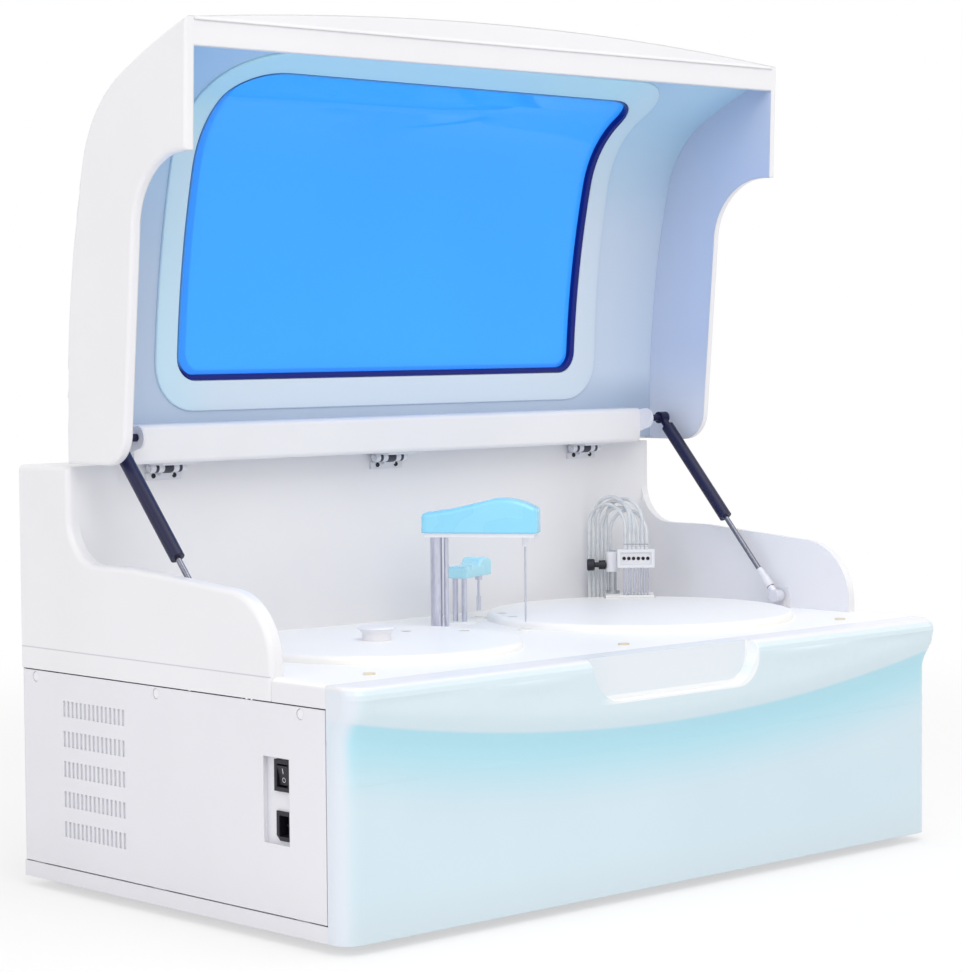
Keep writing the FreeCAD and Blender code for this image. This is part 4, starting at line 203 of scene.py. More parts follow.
# Brushed metal whose darker streaks run square to the direction that the stretch packs tightest
def metal(base, rough=(0.22, 0.4), stretch=(1.0, 1.0, 40.0), grain=0.12, shade=0.86):
    def recipe(make, place):
        packed = stretched(make, place, stretch)
        brushed = noise(make, packed, common["brushScale"], common["detail"])
        haze = noise(make, place, common["hazeScale"])
        return {"Base Color": brushed.step(*common["cloud"]).blend(base, dimmed(base, shade)),
                "Roughness": haze.spanned(*rough),
                "Normal": bump(make, brushed, grain, common["relief"] / 2)}
    return recipe


# Slow noise for the colour of a large moulding, with its roughness and relief
def moulding(make, place, look):
    slow = noise(make, place, look["cloudScale"])
    fine = noise(make, place, common["grainScale"])
    return slow, {"Roughness": slow.spanned(*look["rough"]), "Normal": bump(make, fine, look["grain"])}


whiteTone = srgb(236, 236, 241)

# The moulded front, in metres: its crease rises from the middle to both ends, and a scoop is cut in its top
front = {
    "tone": srgb(211, 229, 239), "cloudTone": srgb(207, 226, 237), "footTone": srgb(210, 225, 234),
    "bandTone": srgb(172, 223, 238), "lipTone": srgb(214, 230, 238), "endTone": srgb(224, 228, 239),
    "hollowTone": srgb(228, 234, 241), "litTone": srgb(253, 253, 254),
    "halfWidth": 0.43, "creaseLow": 0.179, "creaseRise": 0.040,
    "bandTop": (-0.002, 0.004), "bandFade": (0.012, 0.085), "bandShare": 0.9, "lipEnd": (-0.002, 0.003),
    "footHeights": (0.015, 0.06), "topHeights": (0.2455, 0.2485), "ends": (0.418, 0.428), "endShare": 0.8,
    "scoopHalf": 0.122, "scoopFloor": 0.2075, "scoopCorner": 0.03, "scoopSides": (0.121, 0.123),
    "hollowHeights": (0.204, 0.206), "hollowDepths": (-0.2525, -0.2505),
    "litWidths": (0.0022, 0.0042), "litDepths": (-0.2505, -0.2465), "litLeft": (-0.116, -0.08),
    "litRight": (0.122, 0.126), "litShare": 0.75,
    "cloudScale": 5.0, "rough": (0.26, 0.38), "grain": 0.04,
}


# The front's colour: pale blue with a cyan band that starts sharply at the crease and fades downwards, with
# painted shade near the floor and a painted highlight on the scoop's floor edge
def frontRecipe(make, place):
    x, y, z = place.part("x"), place.part("y"), place.part("z")
    slow, sockets = moulding(make, place, front)
    across = x / front["halfWidth"]
    below = across * across * front["creaseRise"] + front["creaseLow"] - z
    colour = slow.step(*common["cloud"]).blend(front["tone"], front["cloudTone"])
    # Painted shade: the front is a little darker towards the floor
    colour = (1 - z.step(*front["footHeights"])).blend(colour, front["footTone"])
    band = below.step(*front["bandTop"]) * (1 - below.step(*front["bandFade"]))
    colour = (band * front["bandShare"]).blend(colour, front["bandTone"])
    colour = (1 - below.step(*front["lipEnd"])).blend(colour, front["lipTone"])
    colour = (abs(x).step(*front["ends"]) * front["endShare"]).blend(colour, front["endTone"])
    colour = z.step(*front["topHeights"]).blend(colour, whiteTone)
    hollow = (1 - abs(x).step(*front["scoopSides"])) * z.step(*front["hollowHeights"])
    colour = (hollow * y.step(*front["hollowDepths"])).blend(colour, front["hollowTone"])
    # Painted highlight: a near-white line along the scoop's rounded floor edge, where light from above
    # catches it
    sideways = (x - (front["scoopHalf"] - front["scoopCorner"])).most(0.0)
    down = (front["scoopFloor"] + front["scoopCorner"] - z).most(0.0)
    rim = abs((sideways * sideways + down * down) ** 0.5 - front["scoopCorner"])
    lit = (1 - rim.step(*front["litWidths"])) * (1 - y.step(*front["litDepths"]))
    nearby = (1 - x.step(*front["litRight"])) * x.step(*front["litLeft"])
    sockets["Base Color"] = (lit * nearby * front["litShare"]).blend(colour, front["litTone"])
    return sockets


linerLook = {
    "tone": srgb(186, 202, 224), "cloudTone": srgb(180, 197, 221), "topTone": srgb(172, 206, 236),
    "topHeights": (0.6, 0.8), "sideTone": srgb(206, 220, 238), "sideTopTone": srgb(180, 216, 240),
    "sideHeights": (0.49, 0.53), "sideTopHeights": (0.66, 0.84), "sideStart": (0.24, 0.35),
    "cloudScale": 6.0, "rough": (0.3, 0.44), "grain": 0.05,
}


# The lid's inside has painted light: it is bluer under its brow, painted shade with blue light from the
# window, and paler on its right, a painted lit side that turns bluer towards its top
def linerRecipe(make, place):
    x, z = place.part("x"), place.part("z")
    slow, sockets = moulding(make, place, linerLook)
    colour = slow.step(*common["cloud"]).blend(linerLook["tone"], linerLook["cloudTone"])
    # Painted blue window light and shade under the brow
    colour = z.step(*linerLook["topHeights"]).blend(colour, linerLook["topTone"])
    # Painted light on the right side: paler, with a painted blue cast towards its top
    sideTone = z.step(*linerLook["sideTopHeights"]).blend(linerLook["sideTone"], linerLook["sideTopTone"])
    side = x.step(*linerLook["sideStart"]) * z.step(*linerLook["sideHeights"])
    sockets["Base Color"] = side.blend(colour, sideTone)
    return sockets


rimLook = {
    "tone": srgb(212, 226, 241), "topTone": srgb(184, 230, 247), "topHeights": (0.68, 0.84),
    "left": (-0.33, -0.22), "leftShare": 0.5, "right": (0.2, 0.3), "rightShare": 0.5,
    "cloudScale": 6.0, "rough": (0.3, 0.44), "grain": 0.05,
}


# The rim has painted blue window light: bluer at its top, less so on its right, and on its left side
def rimRecipe(make, place):
    x = place.part("x")
    sockets = moulding(make, place, rimLook)[1]
    left = (1 - x.step(*rimLook["left"])) * rimLook["leftShare"]
    right = x.step(*rimLook["right"]) * rimLook["rightShare"]
    high = place.part("z").step(*rimLook["topHeights"]) * (1 - right)
    sockets["Base Color"] = high.most(left).blend(rimLook["tone"], rimLook["topTone"])
    return sockets


lidLook = {
    "drift": 0.02, "edge": 0.003, "cheekInside": (0.40, 0.41), "cheekOutside": (0.4255, 0.4275),
    "facing": (0.02, 0.3), "cheekTone": srgb(196, 208, 232), "cheekFrontTone": srgb(184, 202, 230),
    "cheekDepths": (-0.26, -0.05), "cheekLow": (0.46, 0.56), "lowShare": 0.6,
    "crownTone": srgb(226, 226, 231), "crownHeights": (0.868, 0.874), "crownDepths": (-0.22, -0.15),
    "crownShare": 0.9,
}


# White outside; the cheeks' inner faces get a painted blue cast that stands in for light from the window
# beside them, and the crown's top a painted shade
def lidRecipe(make, place):
    sockets = skin(whiteTone, lidLook["drift"], edge=lidLook["edge"])(make, place)
    x, y, z = place.part("x"), place.part("y"), place.part("z")
    # Painted light: inward-facing cheek faces are tinted blue, less so low down
    inward = make("ShaderNodeTexCoord", {}, {}, "Normal").part("x") * x * -1
    cheek = abs(x).step(*lidLook["cheekInside"]) * (1 - abs(x).step(*lidLook["cheekOutside"]))
    tone = (1 - y.step(*lidLook["cheekDepths"])).blend(lidLook["cheekTone"], lidLook["cheekFrontTone"])
    low = 1 - z.step(*lidLook["cheekLow"])
    share = inward.step(*lidLook["facing"]) * cheek * (1 - low * lidLook["lowShare"])
    colour = share.blend(sockets["Base Color"], tone)
    # Painted shade: the crown's lit top is darkened to the tone of the lid's front
    crownShade = z.step(*lidLook["crownHeights"]) * (1 - y.step(*lidLook["crownDepths"]))
    sockets["Base Color"] = (crownShade * lidLook["crownShare"]).blend(colour, lidLook["crownTone"])
    return sockets


deckLook = {"tone": srgb(251, 250, 249), "drift": 0.012, "rough": (0.32, 0.44),
            "sideTone": srgb(232, 232, 238), "sides": (0.4285, 0.4297)}


# Brighter than the casing from above, with edges that match it
def deckRecipe(make, place):
    sockets = skin(deckLook["tone"], deckLook["drift"], deckLook["rough"])(make, place)
    side = abs(place.part("x")).step(*deckLook["sides"])
    sockets["Base Color"] = side.blend(sockets["Base Color"], deckLook["sideTone"])
    return sockets


housingLook = {"drift": 0.02, "lineTone": srgb(150, 150, 168), "lineHeight": 0.2505,
               "lineHalf": (0.0003, 0.0009), "outside": (0.4285, 0.429), "lineShare": 0.45}


# The moulded housing has a fine joint line a little above its lower edge, on its outer walls
def housingRecipe(make, place):
    sockets = skin(whiteTone, housingLook["drift"])(make, place)
    x, z = place.part("x"), place.part("z")
    line = 1 - abs(z - housingLook["lineHeight"]).step(*housingLook["lineHalf"])
    line = line * abs(x).step(*housingLook["outside"]) * housingLook["lineShare"]
    sockets["Base Color"] = line.blend(sockets["Base Color"], housingLook["lineTone"])
    return sockets


acrylicLook = {"tone": srgb(66, 170, 253), "cloudTone": srgb(64, 167, 251), "cloud": (0.3, 0.7),
               "cloudScale": 5.0, "cloudDetail": 1.0, "wipeScale": 14.0, "wipeStretch": (1.0, 1.0, 5.0),
               "rough": (0.01, 0.03)}


# A clear blue pane with faint wiping marks
def acrylicRecipe(make, place):
    slow = noise(make, place, acrylicLook["cloudScale"], acrylicLook["cloudDetail"])
    wiped = stretched(make, place, acrylicLook["wipeStretch"])
    wipe = noise(make, wiped, acrylicLook["wipeScale"], common["detail"])
    colour = slow.step(*acrylicLook["cloud"]).blend(acrylicLook["tone"], acrylicLook["cloudTone"])
    return {"Base Color": colour, "Roughness": wipe.spanned(*acrylicLook["rough"])}


sealLook = {"tone": srgb(84, 156, 224), "darkTone": srgb(4, 26, 122), "right": (0.17, 0.22),
            "rightLean": 0.06, "lowHeights": (0.532, 0.548), "topHeights": (0.835, 0.845), "topShare": 0.45,
            "rough": (0.35, 0.5), "grain": 0.1}


# The seal is painted navy on its right and low edges and part way along its top, its own dark rubber deepened
# by painted shade, and window blue elsewhere, a painted blue cast from the pane
def sealRecipe(make, place):
    x, z = place.part("x"), place.part("z")
    fine = noise(make, place, common["grainScale"])
    right = (x - z * sealLook["rightLean"]).step(*sealLook["right"])
    low = 1 - z.step(*sealLook["lowHeights"])
    top = z.step(*sealLook["topHeights"]) * sealLook["topShare"]
    return {"Base Color": right.most(low).most(top).blend(sealLook["tone"], sealLook["darkTone"]),
            "Roughness": fine.spanned(*sealLook["rough"]), "Normal": bump(make, fine, sealLook["grain"])}


boardLook = {"tones": (srgb(22, 96, 54), srgb(18, 82, 46)), "trackTone": srgb(120, 132, 60),
             "trackScale": 220.0, "trackWidth": 0.03, "trackOffset": 0.35, "hazeScale": 80.0,
             "rough": (0.3, 0.5)}


def boardRecipe(make, place):
    first, second = boardLook["tones"]
    tracks = make("ShaderNodeTexBrick", {"offset": boardLook["trackOffset"]}, {
        "Vector": place, "Color1": first, "Color2": second, "Mortar": boardLook["trackTone"],
        "Scale": boardLook["trackScale"], "Mortar Size": boardLook["trackWidth"]})
    haze = noise(make, place, boardLook["hazeScale"], common["detail"])
    return {"Base Color": tracks, "Roughness": haze.spanned(*boardLook["rough"])}


hoseLook = {"tone": srgb(244, 246, 249), "cloudTone": srgb(232, 237, 242), "cloudScale": 120.0,
            "rough": (0.08, 0.18), "grain": 0.05, "relief": 0.0003}


def hoseRecipe(make, place):
    cloud = noise(make, place, hoseLook["cloudScale"], common["detail"])
    return {"Base Color": cloud.step(*common["sharpCloud"]).blend(hoseLook["tone"], hoseLook["cloudTone"]),
            "Roughness": cloud.spanned(*hoseLook["rough"]),
            "Normal": bump(make, cloud, hoseLook["grain"], hoseLook["relief"])}


coverLook = {"grainScale": 700.0, "cloudScale": 22.0, "rough": (0.22, 0.32), "grain": 0.04, "relief": 0.0003,
             "edge": 0.0025}


# Moulded arm covers with well rounded edges and a soft sheen
def cover(tone, cloudTone):
    def recipe(make, place):
        fine = noise(make, place, coverLook["grainScale"])
        slow = noise(make, place, coverLook["cloudScale"])
        return {"Base Color": slow.step(*common["cloud"]).blend(tone, cloudTone),
                "Roughness": slow.spanned(*coverLook["rough"]),
                "Normal": bump(make, fine, coverLook["grain"], coverLook["relief"], coverLook["edge"])}
    return recipe


# Three hinges, with the places of their knuckles' dark rings as reaches from each hinge's middle, in metres
hinges = {"pitch": 0.310, "tone": srgb(222, 224, 232), "knuckleTone": srgb(40, 42, 62),
          "knuckle": (0.0054, 0.0058), "middle": (0.0055, 0.0065), "endStart": (0.0125, 0.0135),
          "endStop": (0.0165, 0.0175), "brushScale": 60.0, "brushStretch": (30.0, 1.0, 1.0),
          "rough": (0.3, 0.5), "grain": 0.06, "relief": 0.0002}


# White hinge plates whose knuckles are dark in the middle and at both ends
def hingeRecipe(make, place):
    y, z = place.part("y") - hinge[1], place.part("z") - hinge[2]
    away = (y * y + z * z) ** 0.5
    along = abs(abs(abs(place.part("x")) - hinges["pitch"] / 2) - hinges["pitch"] / 2)
    middle = 1 - along.step(*hinges["middle"])
    ends = along.step(*hinges["endStart"]) * (1 - along.step(*hinges["endStop"]))
    knuckle = (1 - away.step(*hinges["knuckle"])) * middle.most(ends)
    packed = stretched(make, place, hinges["brushStretch"])
    brushed = noise(make, packed, hinges["brushScale"], common["detail"])
    return {"Base Color": knuckle.blend(hinges["tone"], hinges["knuckleTone"]),
            "Roughness": brushed.spanned(*hinges["rough"]),
            "Normal": bump(make, brushed, hinges["grain"], hinges["relief"])}


rodPolish = {"rough": (0.24, 0.34), "darkRough": (0.14, 0.24), "stretch": (6.0, 6.0, 1.0), "grain": 0.03,
             "darkTone": srgb(128, 130, 142), "ballTone": srgb(222, 222, 232), "ball": (0.0125, 0.0135),
             "ballDullness": 0.8}


# A dark polished rod whose ball end is bright nickel
def rodRecipe(make, place):
    rod = metal(rodPolish["darkTone"], rodPolish["darkRough"], rodPolish["stretch"], rodPolish["grain"])
    sockets = rod(make, place)
    pivot = jointNamed["left_strut_hinge"]["pos_m"]
    y, z = place.part("y") - pivot[1], place.part("z") - pivot[2]
    ball = 1 - ((y * y + z * z) ** 0.5).step(*rodPolish["ball"])
    sockets["Base Color"] = ball.blend(sockets["Base Color"], rodPolish["ballTone"])
    sockets["Metallic"] = 1 - ball * rodPolish["ballDullness"]
    return sockets


feltLook = {"tone": srgb(226, 226, 232), "fibreTone": srgb(208, 210, 219), "fibreScale": 1400.0,
            "fibreDetail": 4.0, "fibreRough": 0.7, "cloudScale": 60.0, "rough": (0.85, 0.95), "grain": 0.5,
            "relief": 0.0005}


# Pale filter felt
def feltRecipe(make, place):
    fibre = noise(make, place, feltLook["fibreScale"], feltLook["fibreDetail"], feltLook["fibreRough"])
    cloud = noise(make, place, feltLook["cloudScale"], common["detail"])
    return {"Base Color": fibre.step(*common["sharpCloud"]).blend(feltLook["tone"], feltLook["fibreTone"]),
            "Roughness": cloud.spanned(*feltLook["rough"]),
            "Normal": bump(make, fibre, feltLook["grain"], feltLook["relief"])}


def coated(weight, rough):
    return {"Coat Weight": weight, "Coat Roughness": rough}


def clear(weight, bending):
    return {"Transmission Weight": weight, "IOR": bending}


moulded = coated(0.12, 0.2)
solidMetal = {"Metallic": 1.0}
dullBlack = {"Specular IOR Level": 0.3, **coated(0.08, 0.2)}
dullSeal = {"Specular IOR Level": 0.25}
# Painted glow: the blue pane gives off a faint blue light of its own, standing in for light scattered through
# it
paintedGlowPane = {"Emission Color": srgb(64, 167, 250), "Emission Strength": 0.2, **clear(0.55, 1.3)}

# Each finish: its recipe and what is fixed on its shader
looks = {
    "mouldedWhite": (skin(whiteTone, drift=0.02), moulded),
    "deckWhite": (deckRecipe, coated(0.1, 0.2)),
    "frontFascia": (frontRecipe, coated(0.2, 0.15)),
    "lidWhite": (lidRecipe, moulded),
    "housingWhite": (housingRecipe, moulded),
    "linerWhite": (linerRecipe, moulded),
    "rimWhite": (rimRecipe, moulded),
    "powderCoat": (skin(srgb(231, 231, 238), 0.02, (0.45, 0.6), scale=1600.0, grain=0.12, dust=0.25), {}),
    "screwPaint": (skin(srgb(236, 236, 242), 0.02, (0.3, 0.45), scale=1600.0, grain=0.08), {}),
    "soleRubber": (skin(srgb(40, 40, 43), 0.3, (0.7, 0.85), scale=700.0, grain=0.2), {}),
    "sealRubber": (sealRecipe, dullSeal),
    "plainSteel": (metal(srgb(186, 188, 192)), solidMetal),
    "hingePaint": (hingeRecipe, {}),
    "brightRod": (metal(srgb(206, 208, 222), rodPolish["rough"], rodPolish["stretch"], rodPolish["grain"]),
                  solidMetal),
    "strutRod": (rodRecipe, {}),
    "whiteFitting": (skin(srgb(228, 228, 234), 0.04, (0.25, 0.38), scale=1200.0, grain=0.05), {}),
    "plugTan": (skin(srgb(228, 216, 194), 0.08, (0.35, 0.5), scale=1200.0, grain=0.08), {}),
    "greyPaint": (skin(srgb(142, 145, 148), 0.06, (0.4, 0.55), scale=1200.0, grain=0.1), {}),
    "strutBlack": (skin(srgb(24, 24, 64), 0.2, (0.3, 0.42), scale=1400.0, grain=0.05), dullBlack),
    "greyPlastic": (skin(srgb(150, 152, 156), 0.05, (0.4, 0.55), scale=1000.0, grain=0.08), {}),
    "blackPlastic": (skin(srgb(22, 21, 34), 0.25, (0.4, 0.6), scale=1500.0, grain=0.18), {}),
    "markWhite": (skin(srgb(214, 216, 222), 0.05, (0.4, 0.5), scale=1500.0, grain=0.05), {}),
    "filterFelt": (feltRecipe, {}),
    "blueAcrylic": (acrylicRecipe, paintedGlowPane),
    "cyanCover": (cover(srgb(142, 218, 249), srgb(150, 223, 249)), coated(0.35, 0.1)),
    # Painted light: the mixer arm's cover is the same cyan plastic, painted paler to lift it out of the shade
    # it sits in
    "paleCover": (cover(srgb(182, 240, 255), srgb(188, 242, 255)), coated(0.35, 0.1)),
    "clearHose": (hoseRecipe, clear(0.3, 1.4)),
    "clearPlastic": (hoseRecipe, clear(0.5, 1.45)),
    "bathMetal": (metal(srgb(208, 210, 214), (0.28, 0.42), (1.0, 1.0, 20.0)), solidMetal),
    "boardGreen": (boardRecipe, {"Coat Weight": 0.3}),
}
finishes = {name: finish(name, recipe, fixed) for name, (recipe, fixed) in looks.items()}
wears = {
    "mouldedWhite": ["lid_rear_bar", "wash_manifold"],
    "lidWhite": ["lid_shell"],
    "housingWhite": ["upper_housing"],
    "deckWhite": ["deck", "probe_turret", "mixer_turret", "wash_wells", "wash_block", "sample_cover",
                  "reaction_cover"],
    "frontFascia": ["front_panel"],
    "linerWhite": ["lid_liner"],
    "powderCoat": ["base_tray", "left_side_panel", "right_side_panel", "rear_panel", "power_plate",
                   "strut_lid_brackets"],
    "screwPaint": ["panel_screws", "probe_arm_base", "sample_cover_knob"],
    "soleRubber": ["feet"],
    "sealRubber": ["window_gasket"],
    "plainSteel": ["frame_posts", "mounting_plate", "wash_post", "disc_motors", "power_supply"],
    "hingePaint": ["hinge_fixed_leaves", "hinge_lid_leaves"],
    "whiteFitting": ["strut_wall_studs"],
    "plugTan": ["deck_plugs"],
    "brightRod": ["probe_column", "probe_needle", "mixer_posts", "mixer_paddle", "wash_nozzles"],
    "strutRod": ["left_strut_rod", "right_strut_rod"],
    "greyPaint": ["photometer", "syringe_pump"],
    "strutBlack": ["left_strut_tube", "right_strut_tube"],
    "greyPlastic": ["sample_rotor", "reaction_rotor"],
    "blackPlastic": ["switch_frame", "power_rocker", "power_inlet", "wash_thumb_screw", "fan_frame",
                     "fan_rotor"],
    "blueAcrylic": ["lid_window"],
    "cyanCover": ["probe_arm_cover"],
    "paleCover": ["mixer_arm_cover"],
    "clearHose": ["wash_hoses"],
    "clearPlastic": ["sample_tubes", "cuvettes"],
    "bathMetal": ["warm_bath"],
    "boardGreen": ["control_board"],
}
for finishName, wearers in wears.items():
    for wearer in wearers:
        mesh = nodes[wearer].data
        mesh.materials.clear()
        mesh.materials.append(finishes[finishName])
bare = set(nodes) - {wearer for wearers in wears.values() for wearer in wearers}
print("finishes on", len(nodes) - len(bare), "nodes, none on", sorted(bare))


# A new piece of the object from a list of points and faces
def addPiece(name, points, faces, finishName, body, slotName, sharpAngle=35):
    mesh = bpy.data.meshes.new(name)
    mesh.from_pydata(points, [], faces)
    tidy = bmesh.new()
    tidy.from_mesh(mesh)
    bmesh.ops.recalc_face_normals(tidy, faces=tidy.faces)
    tidy.to_mesh(mesh)
    tidy.free()
    mesh.shade_smooth()
    mesh.set_sharp_from_angle(angle=math.radians(sharpAngle))
    mesh.materials.append(finishes[finishName])
    piece = bpy.data.objects.new(name, mesh)
    bpy.context.scene.collection.objects.link(piece)
    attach(piece, body)
    return piece


# Faces between closed loops of points that have as many points each
def bridged(loops, closed=False):
    points = [point for loop in loops for point in loop]
    count = len(loops[0])
    faces = []
    for row in range(len(loops) if closed else len(loops) - 1):
        here, after = row * count, (row + 1) % len(loops) * count
        for index in range(count):
            following = (index + 1) % count
            faces.append((here + index, here + following, after + following, after + index))
    return points, faces


# The loops of a turned shape: pairs of radius and height along an axis from a place
def turnedLoops(profile, start, axis, count):
    turn = Vector(axis).normalized().to_track_quat("Z", "Y")
    angles = [2 * math.pi * index / count for index in range(count)]
    return [[Vector(start) + turn @ Vector((radius * math.cos(angle), radius * math.sin(angle), height))
             for angle in angles] for radius, height in profile]


# A turned shape that is closed at both ends
def turned(profile, start, axis, count):
    points, faces = bridged(turnedLoops(profile, start, axis, count))
    last = len(points) - count
    faces.append(tuple(range(count)))
    faces.append(tuple(range(last, last + count)))
    return points, faces


# A turned ring, whose profile closes on itself
def turnedRing(profile, start, axis, count):
    return bridged(turnedLoops(profile, start, axis, count), True)


# Several shapes as one
def gathered(shapes):
    points, faces = [], []
    for morePoints, moreFaces in shapes:
        faces += [tuple(index + len(points) for index in face) for face in moreFaces]
        points += morePoints
    return points, faces


# Where a straight line first meets a CAD node
def surfaceAt(nodeName, start, direction):
    mesh = nodes[nodeName].data
    corners = [vertex.co for vertex in mesh.vertices]
    tree = BVHTree.FromPolygons(corners, [face.vertices for face in mesh.polygons])
    return tree.ray_cast(Vector(start), Vector(direction))[0]


# The lid's outer skin follows one curve, in metres and degrees: straight up from its foot, then three arcs
# that lean over the deck, the last as long as is needed
lidCurve = {"footAbove": 0.008, "straight": 0.038, "radii": (1.113, 0.130, 0.724), "turns": (13.8, 48.0)}


# A place across the lid, along its curve and so deep inside its skin
def lidPlace(x, run, depth):
    footY, footZ = hinge[1] + lidCurve["footAbove"], hinge[2] + lidCurve["footAbove"]
    if run < lidCurve["straight"]:
        return Vector((x, footY - depth, footZ + run))
    radius, *laterRadii = lidCurve["radii"]
    centreY, centreZ = footY - radius, footZ + lidCurve["straight"]
    left, angle = run - lidCurve["straight"], 0.0
    for turn, nextRadius in zip(lidCurve["turns"], laterRadii):
        arc = radius * math.radians(turn)
        if left <= arc:
            break
        left -= arc
        angle += math.radians(turn)
        centreY += (radius - nextRadius) * math.cos(angle)
        centreZ += (radius - nextRadius) * math.sin(angle)
        radius = nextRadius
    angle += left / radius
    reach = radius - depth
    return Vector((x, centreY + reach * math.cos(angle), centreZ + reach * math.sin(angle)))


def lidLoop(pairs, depth):
    return [lidPlace(x, run, depth) for x, run in pairs]


def between(first, second, share):
    return (first[0] + (second[0] - first[0]) * share, first[1] + (second[1] - first[1]) * share)


# Loops at one depth between two outlines, without the two themselves
def spread(inner, outer, depth, count):
    return [lidLoop([between(a, b, step / count) for a, b in zip(inner, outer)], depth)
            for step in range(1, count)]


# Outlines on the lid's inside, in metres across it and along its curve: lift raises the top edge towards its
# left, and lean draws the right edge in towards its top
lidOutlines = {
    "sheet": {"left": -0.4199, "right": 0.4199, "low": 0.003, "high": 0.519,
              "lowCorner": 0.0, "highCorner": 0.0, "lift": 0.0, "lean": 0.0},
    "rim": {"left": -0.328, "right": 0.323, "low": 0.0497, "high": 0.494,
            "lowCorner": 0.05, "highCorner": 0.075, "lift": 0.0095, "lean": 0.014},
    "window": {"left": -0.3, "right": 0.285, "low": 0.0827, "high": 0.4495,
               "lowCorner": 0.024, "highCorner": 0.05, "lift": 0.0095, "lean": 0.0},
}
outlineSteps = {"corner": 8, "across": 10, "along": 40, "leastCorner": 0.0005}


# An outline as pairs across and along the lid, drawn in by an inset; each has as many pairs
def lidOutline(shape, inset=0.0):
    left, right = shape["left"] + inset, shape["right"] - inset
    low, high = shape["low"] + inset, shape["high"] - inset
    lowCorner = max(shape["lowCorner"] - inset, outlineSteps["leastCorner"])
    highCorner = max(shape["highCorner"] - inset, outlineSteps["leastCorner"])
    corners = [(right - lowCorner, low + lowCorner, lowCorner, -90),
               (right - highCorner, high - highCorner, highCorner, 0),
               (left + highCorner, high - highCorner, highCorner, 90),
               (left + lowCorner, low + lowCorner, lowCorner, 180)]
    pairs = []
    for number, (x, run, radius, start) in enumerate(corners):
        for step in range(outlineSteps["corner"] + 1):
            angle = math.radians(start + 90 * step / outlineSteps["corner"])
            pairs.append((x + radius * math.cos(angle), run + radius * math.sin(angle)))
        nextX, nextRun, nextRadius, nextStart = corners[(number + 1) % len(corners)]
        nextAngle = math.radians(nextStart)
        target = (nextX + nextRadius * math.cos(nextAngle), nextRun + nextRadius * math.sin(nextAngle))
        count = outlineSteps["across" if number % 2 else "along"]
        begin = pairs[-1]
        pairs += [between(begin, target, step / count) for step in range(1, count)]
    slanted = []
    for x, run in pairs:
        across, along = (x - left) / (right - left), (run - low) / (high - low)
        slanted.append((x - shape["lean"] * across * along, run + shape["lift"] * (1 - across) * along))
    return slanted


# The liner's sheet, its rim round the window and the window's seal, in metres, from the lid's skin inwards;
# the rim's insets and its drop at an edge are shares of its rounding
linerSizes = {"back": 0.0082, "sheet": 0.003, "sheetStrips": 10, "rimHeight": 0.0025, "rimStrips": 5,
              "round": 0.0012, "rimInsets": (0.0, 0.3, 1.0, 2.0), "windowInsets": (-2.0, -0.6, 0.0),
              "edgeDrop": 0.2, "sealProud": 0.0008, "sealGap": 0.0003, "sealRound": 0.0008,
              "sealWidths": {"left": 0.0025, "right": 0.0075, "low": 0.006, "high": 0.0025}}


def addLiner():
    back, edge = linerSizes["back"], linerSizes["round"]
    face = back + linerSizes["sheet"]
    proud = face + linerSizes["rimHeight"]
    shoulder = proud - edge * linerSizes["edgeDrop"]
    outer = lidOutline(lidOutlines["sheet"])
    rim = [lidOutline(lidOutlines["rim"], edge * share) for share in linerSizes["rimInsets"]]
    window = [lidOutline(lidOutlines["window"], edge * share) for share in linerSizes["windowInsets"]]
    loops = [lidLoop(outer, back), lidLoop(outer, face)]
    loops += spread(outer, rim[0], face, linerSizes["sheetStrips"])
    loops += [lidLoop(rim[0], face), lidLoop(rim[1], face), lidLoop(rim[1], back)]
    loops += spread(rim[1], outer, back, linerSizes["sheetStrips"])
    liner = addPiece("lidLiner", *bridged(loops, True), "linerWhite", "lid", "white_plastic")
    loops = [lidLoop(rim[1], back), lidLoop(rim[1], face + linerSizes["rimHeight"] / 2),
             lidLoop(rim[2], shoulder), lidLoop(rim[3], proud)]
    loops += spread(rim[3], window[0], proud, linerSizes["rimStrips"])
    loops += [lidLoop(window[0], proud), lidLoop(window[1], shoulder), lidLoop(window[2], proud - edge),
              lidLoop(window[2], back)]
    loops += spread(window[2], rim[1], back, linerSizes["rimStrips"])
    raised = addPiece("lidLinerRim", *bridged(loops, True), "rimWhite", "lid", "white_plastic")
    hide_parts("lid_liner")
    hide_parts("lid_liner")


def addWindowSeal():
    gap, soft, wide = linerSizes["sealGap"], linerSizes["sealRound"], linerSizes["sealWidths"]
    window, back = lidOutlines["window"], linerSizes["back"]
    high = back + linerSizes["sheet"] + linerSizes["rimHeight"] + linerSizes["sealProud"]
    opening = {**window, "left": window["left"] + wide["left"], "right": window["right"] - wide["right"],
               "low": window["low"] + wide["low"], "high": window["high"] - wide["high"],
               "lowCorner": window["lowCorner"] - wide["low"],
               "highCorner": window["highCorner"] - wide["right"]}
    outside = [lidOutline(window, inset) for inset in (gap, gap + soft)]
    inside = [lidOutline(opening, inset) for inset in (-soft, 0.0)]
    loops = [lidLoop(outside[0], back), lidLoop(outside[0], high - soft), lidLoop(outside[1], high),
             lidLoop(inside[0], high), lidLoop(inside[1], high - soft), lidLoop(inside[1], back)]
    seal = addPiece("windowSeal", *bridged(loops, True), "sealRubber", "lid", "dark_rubber")
    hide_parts("window_gasket")


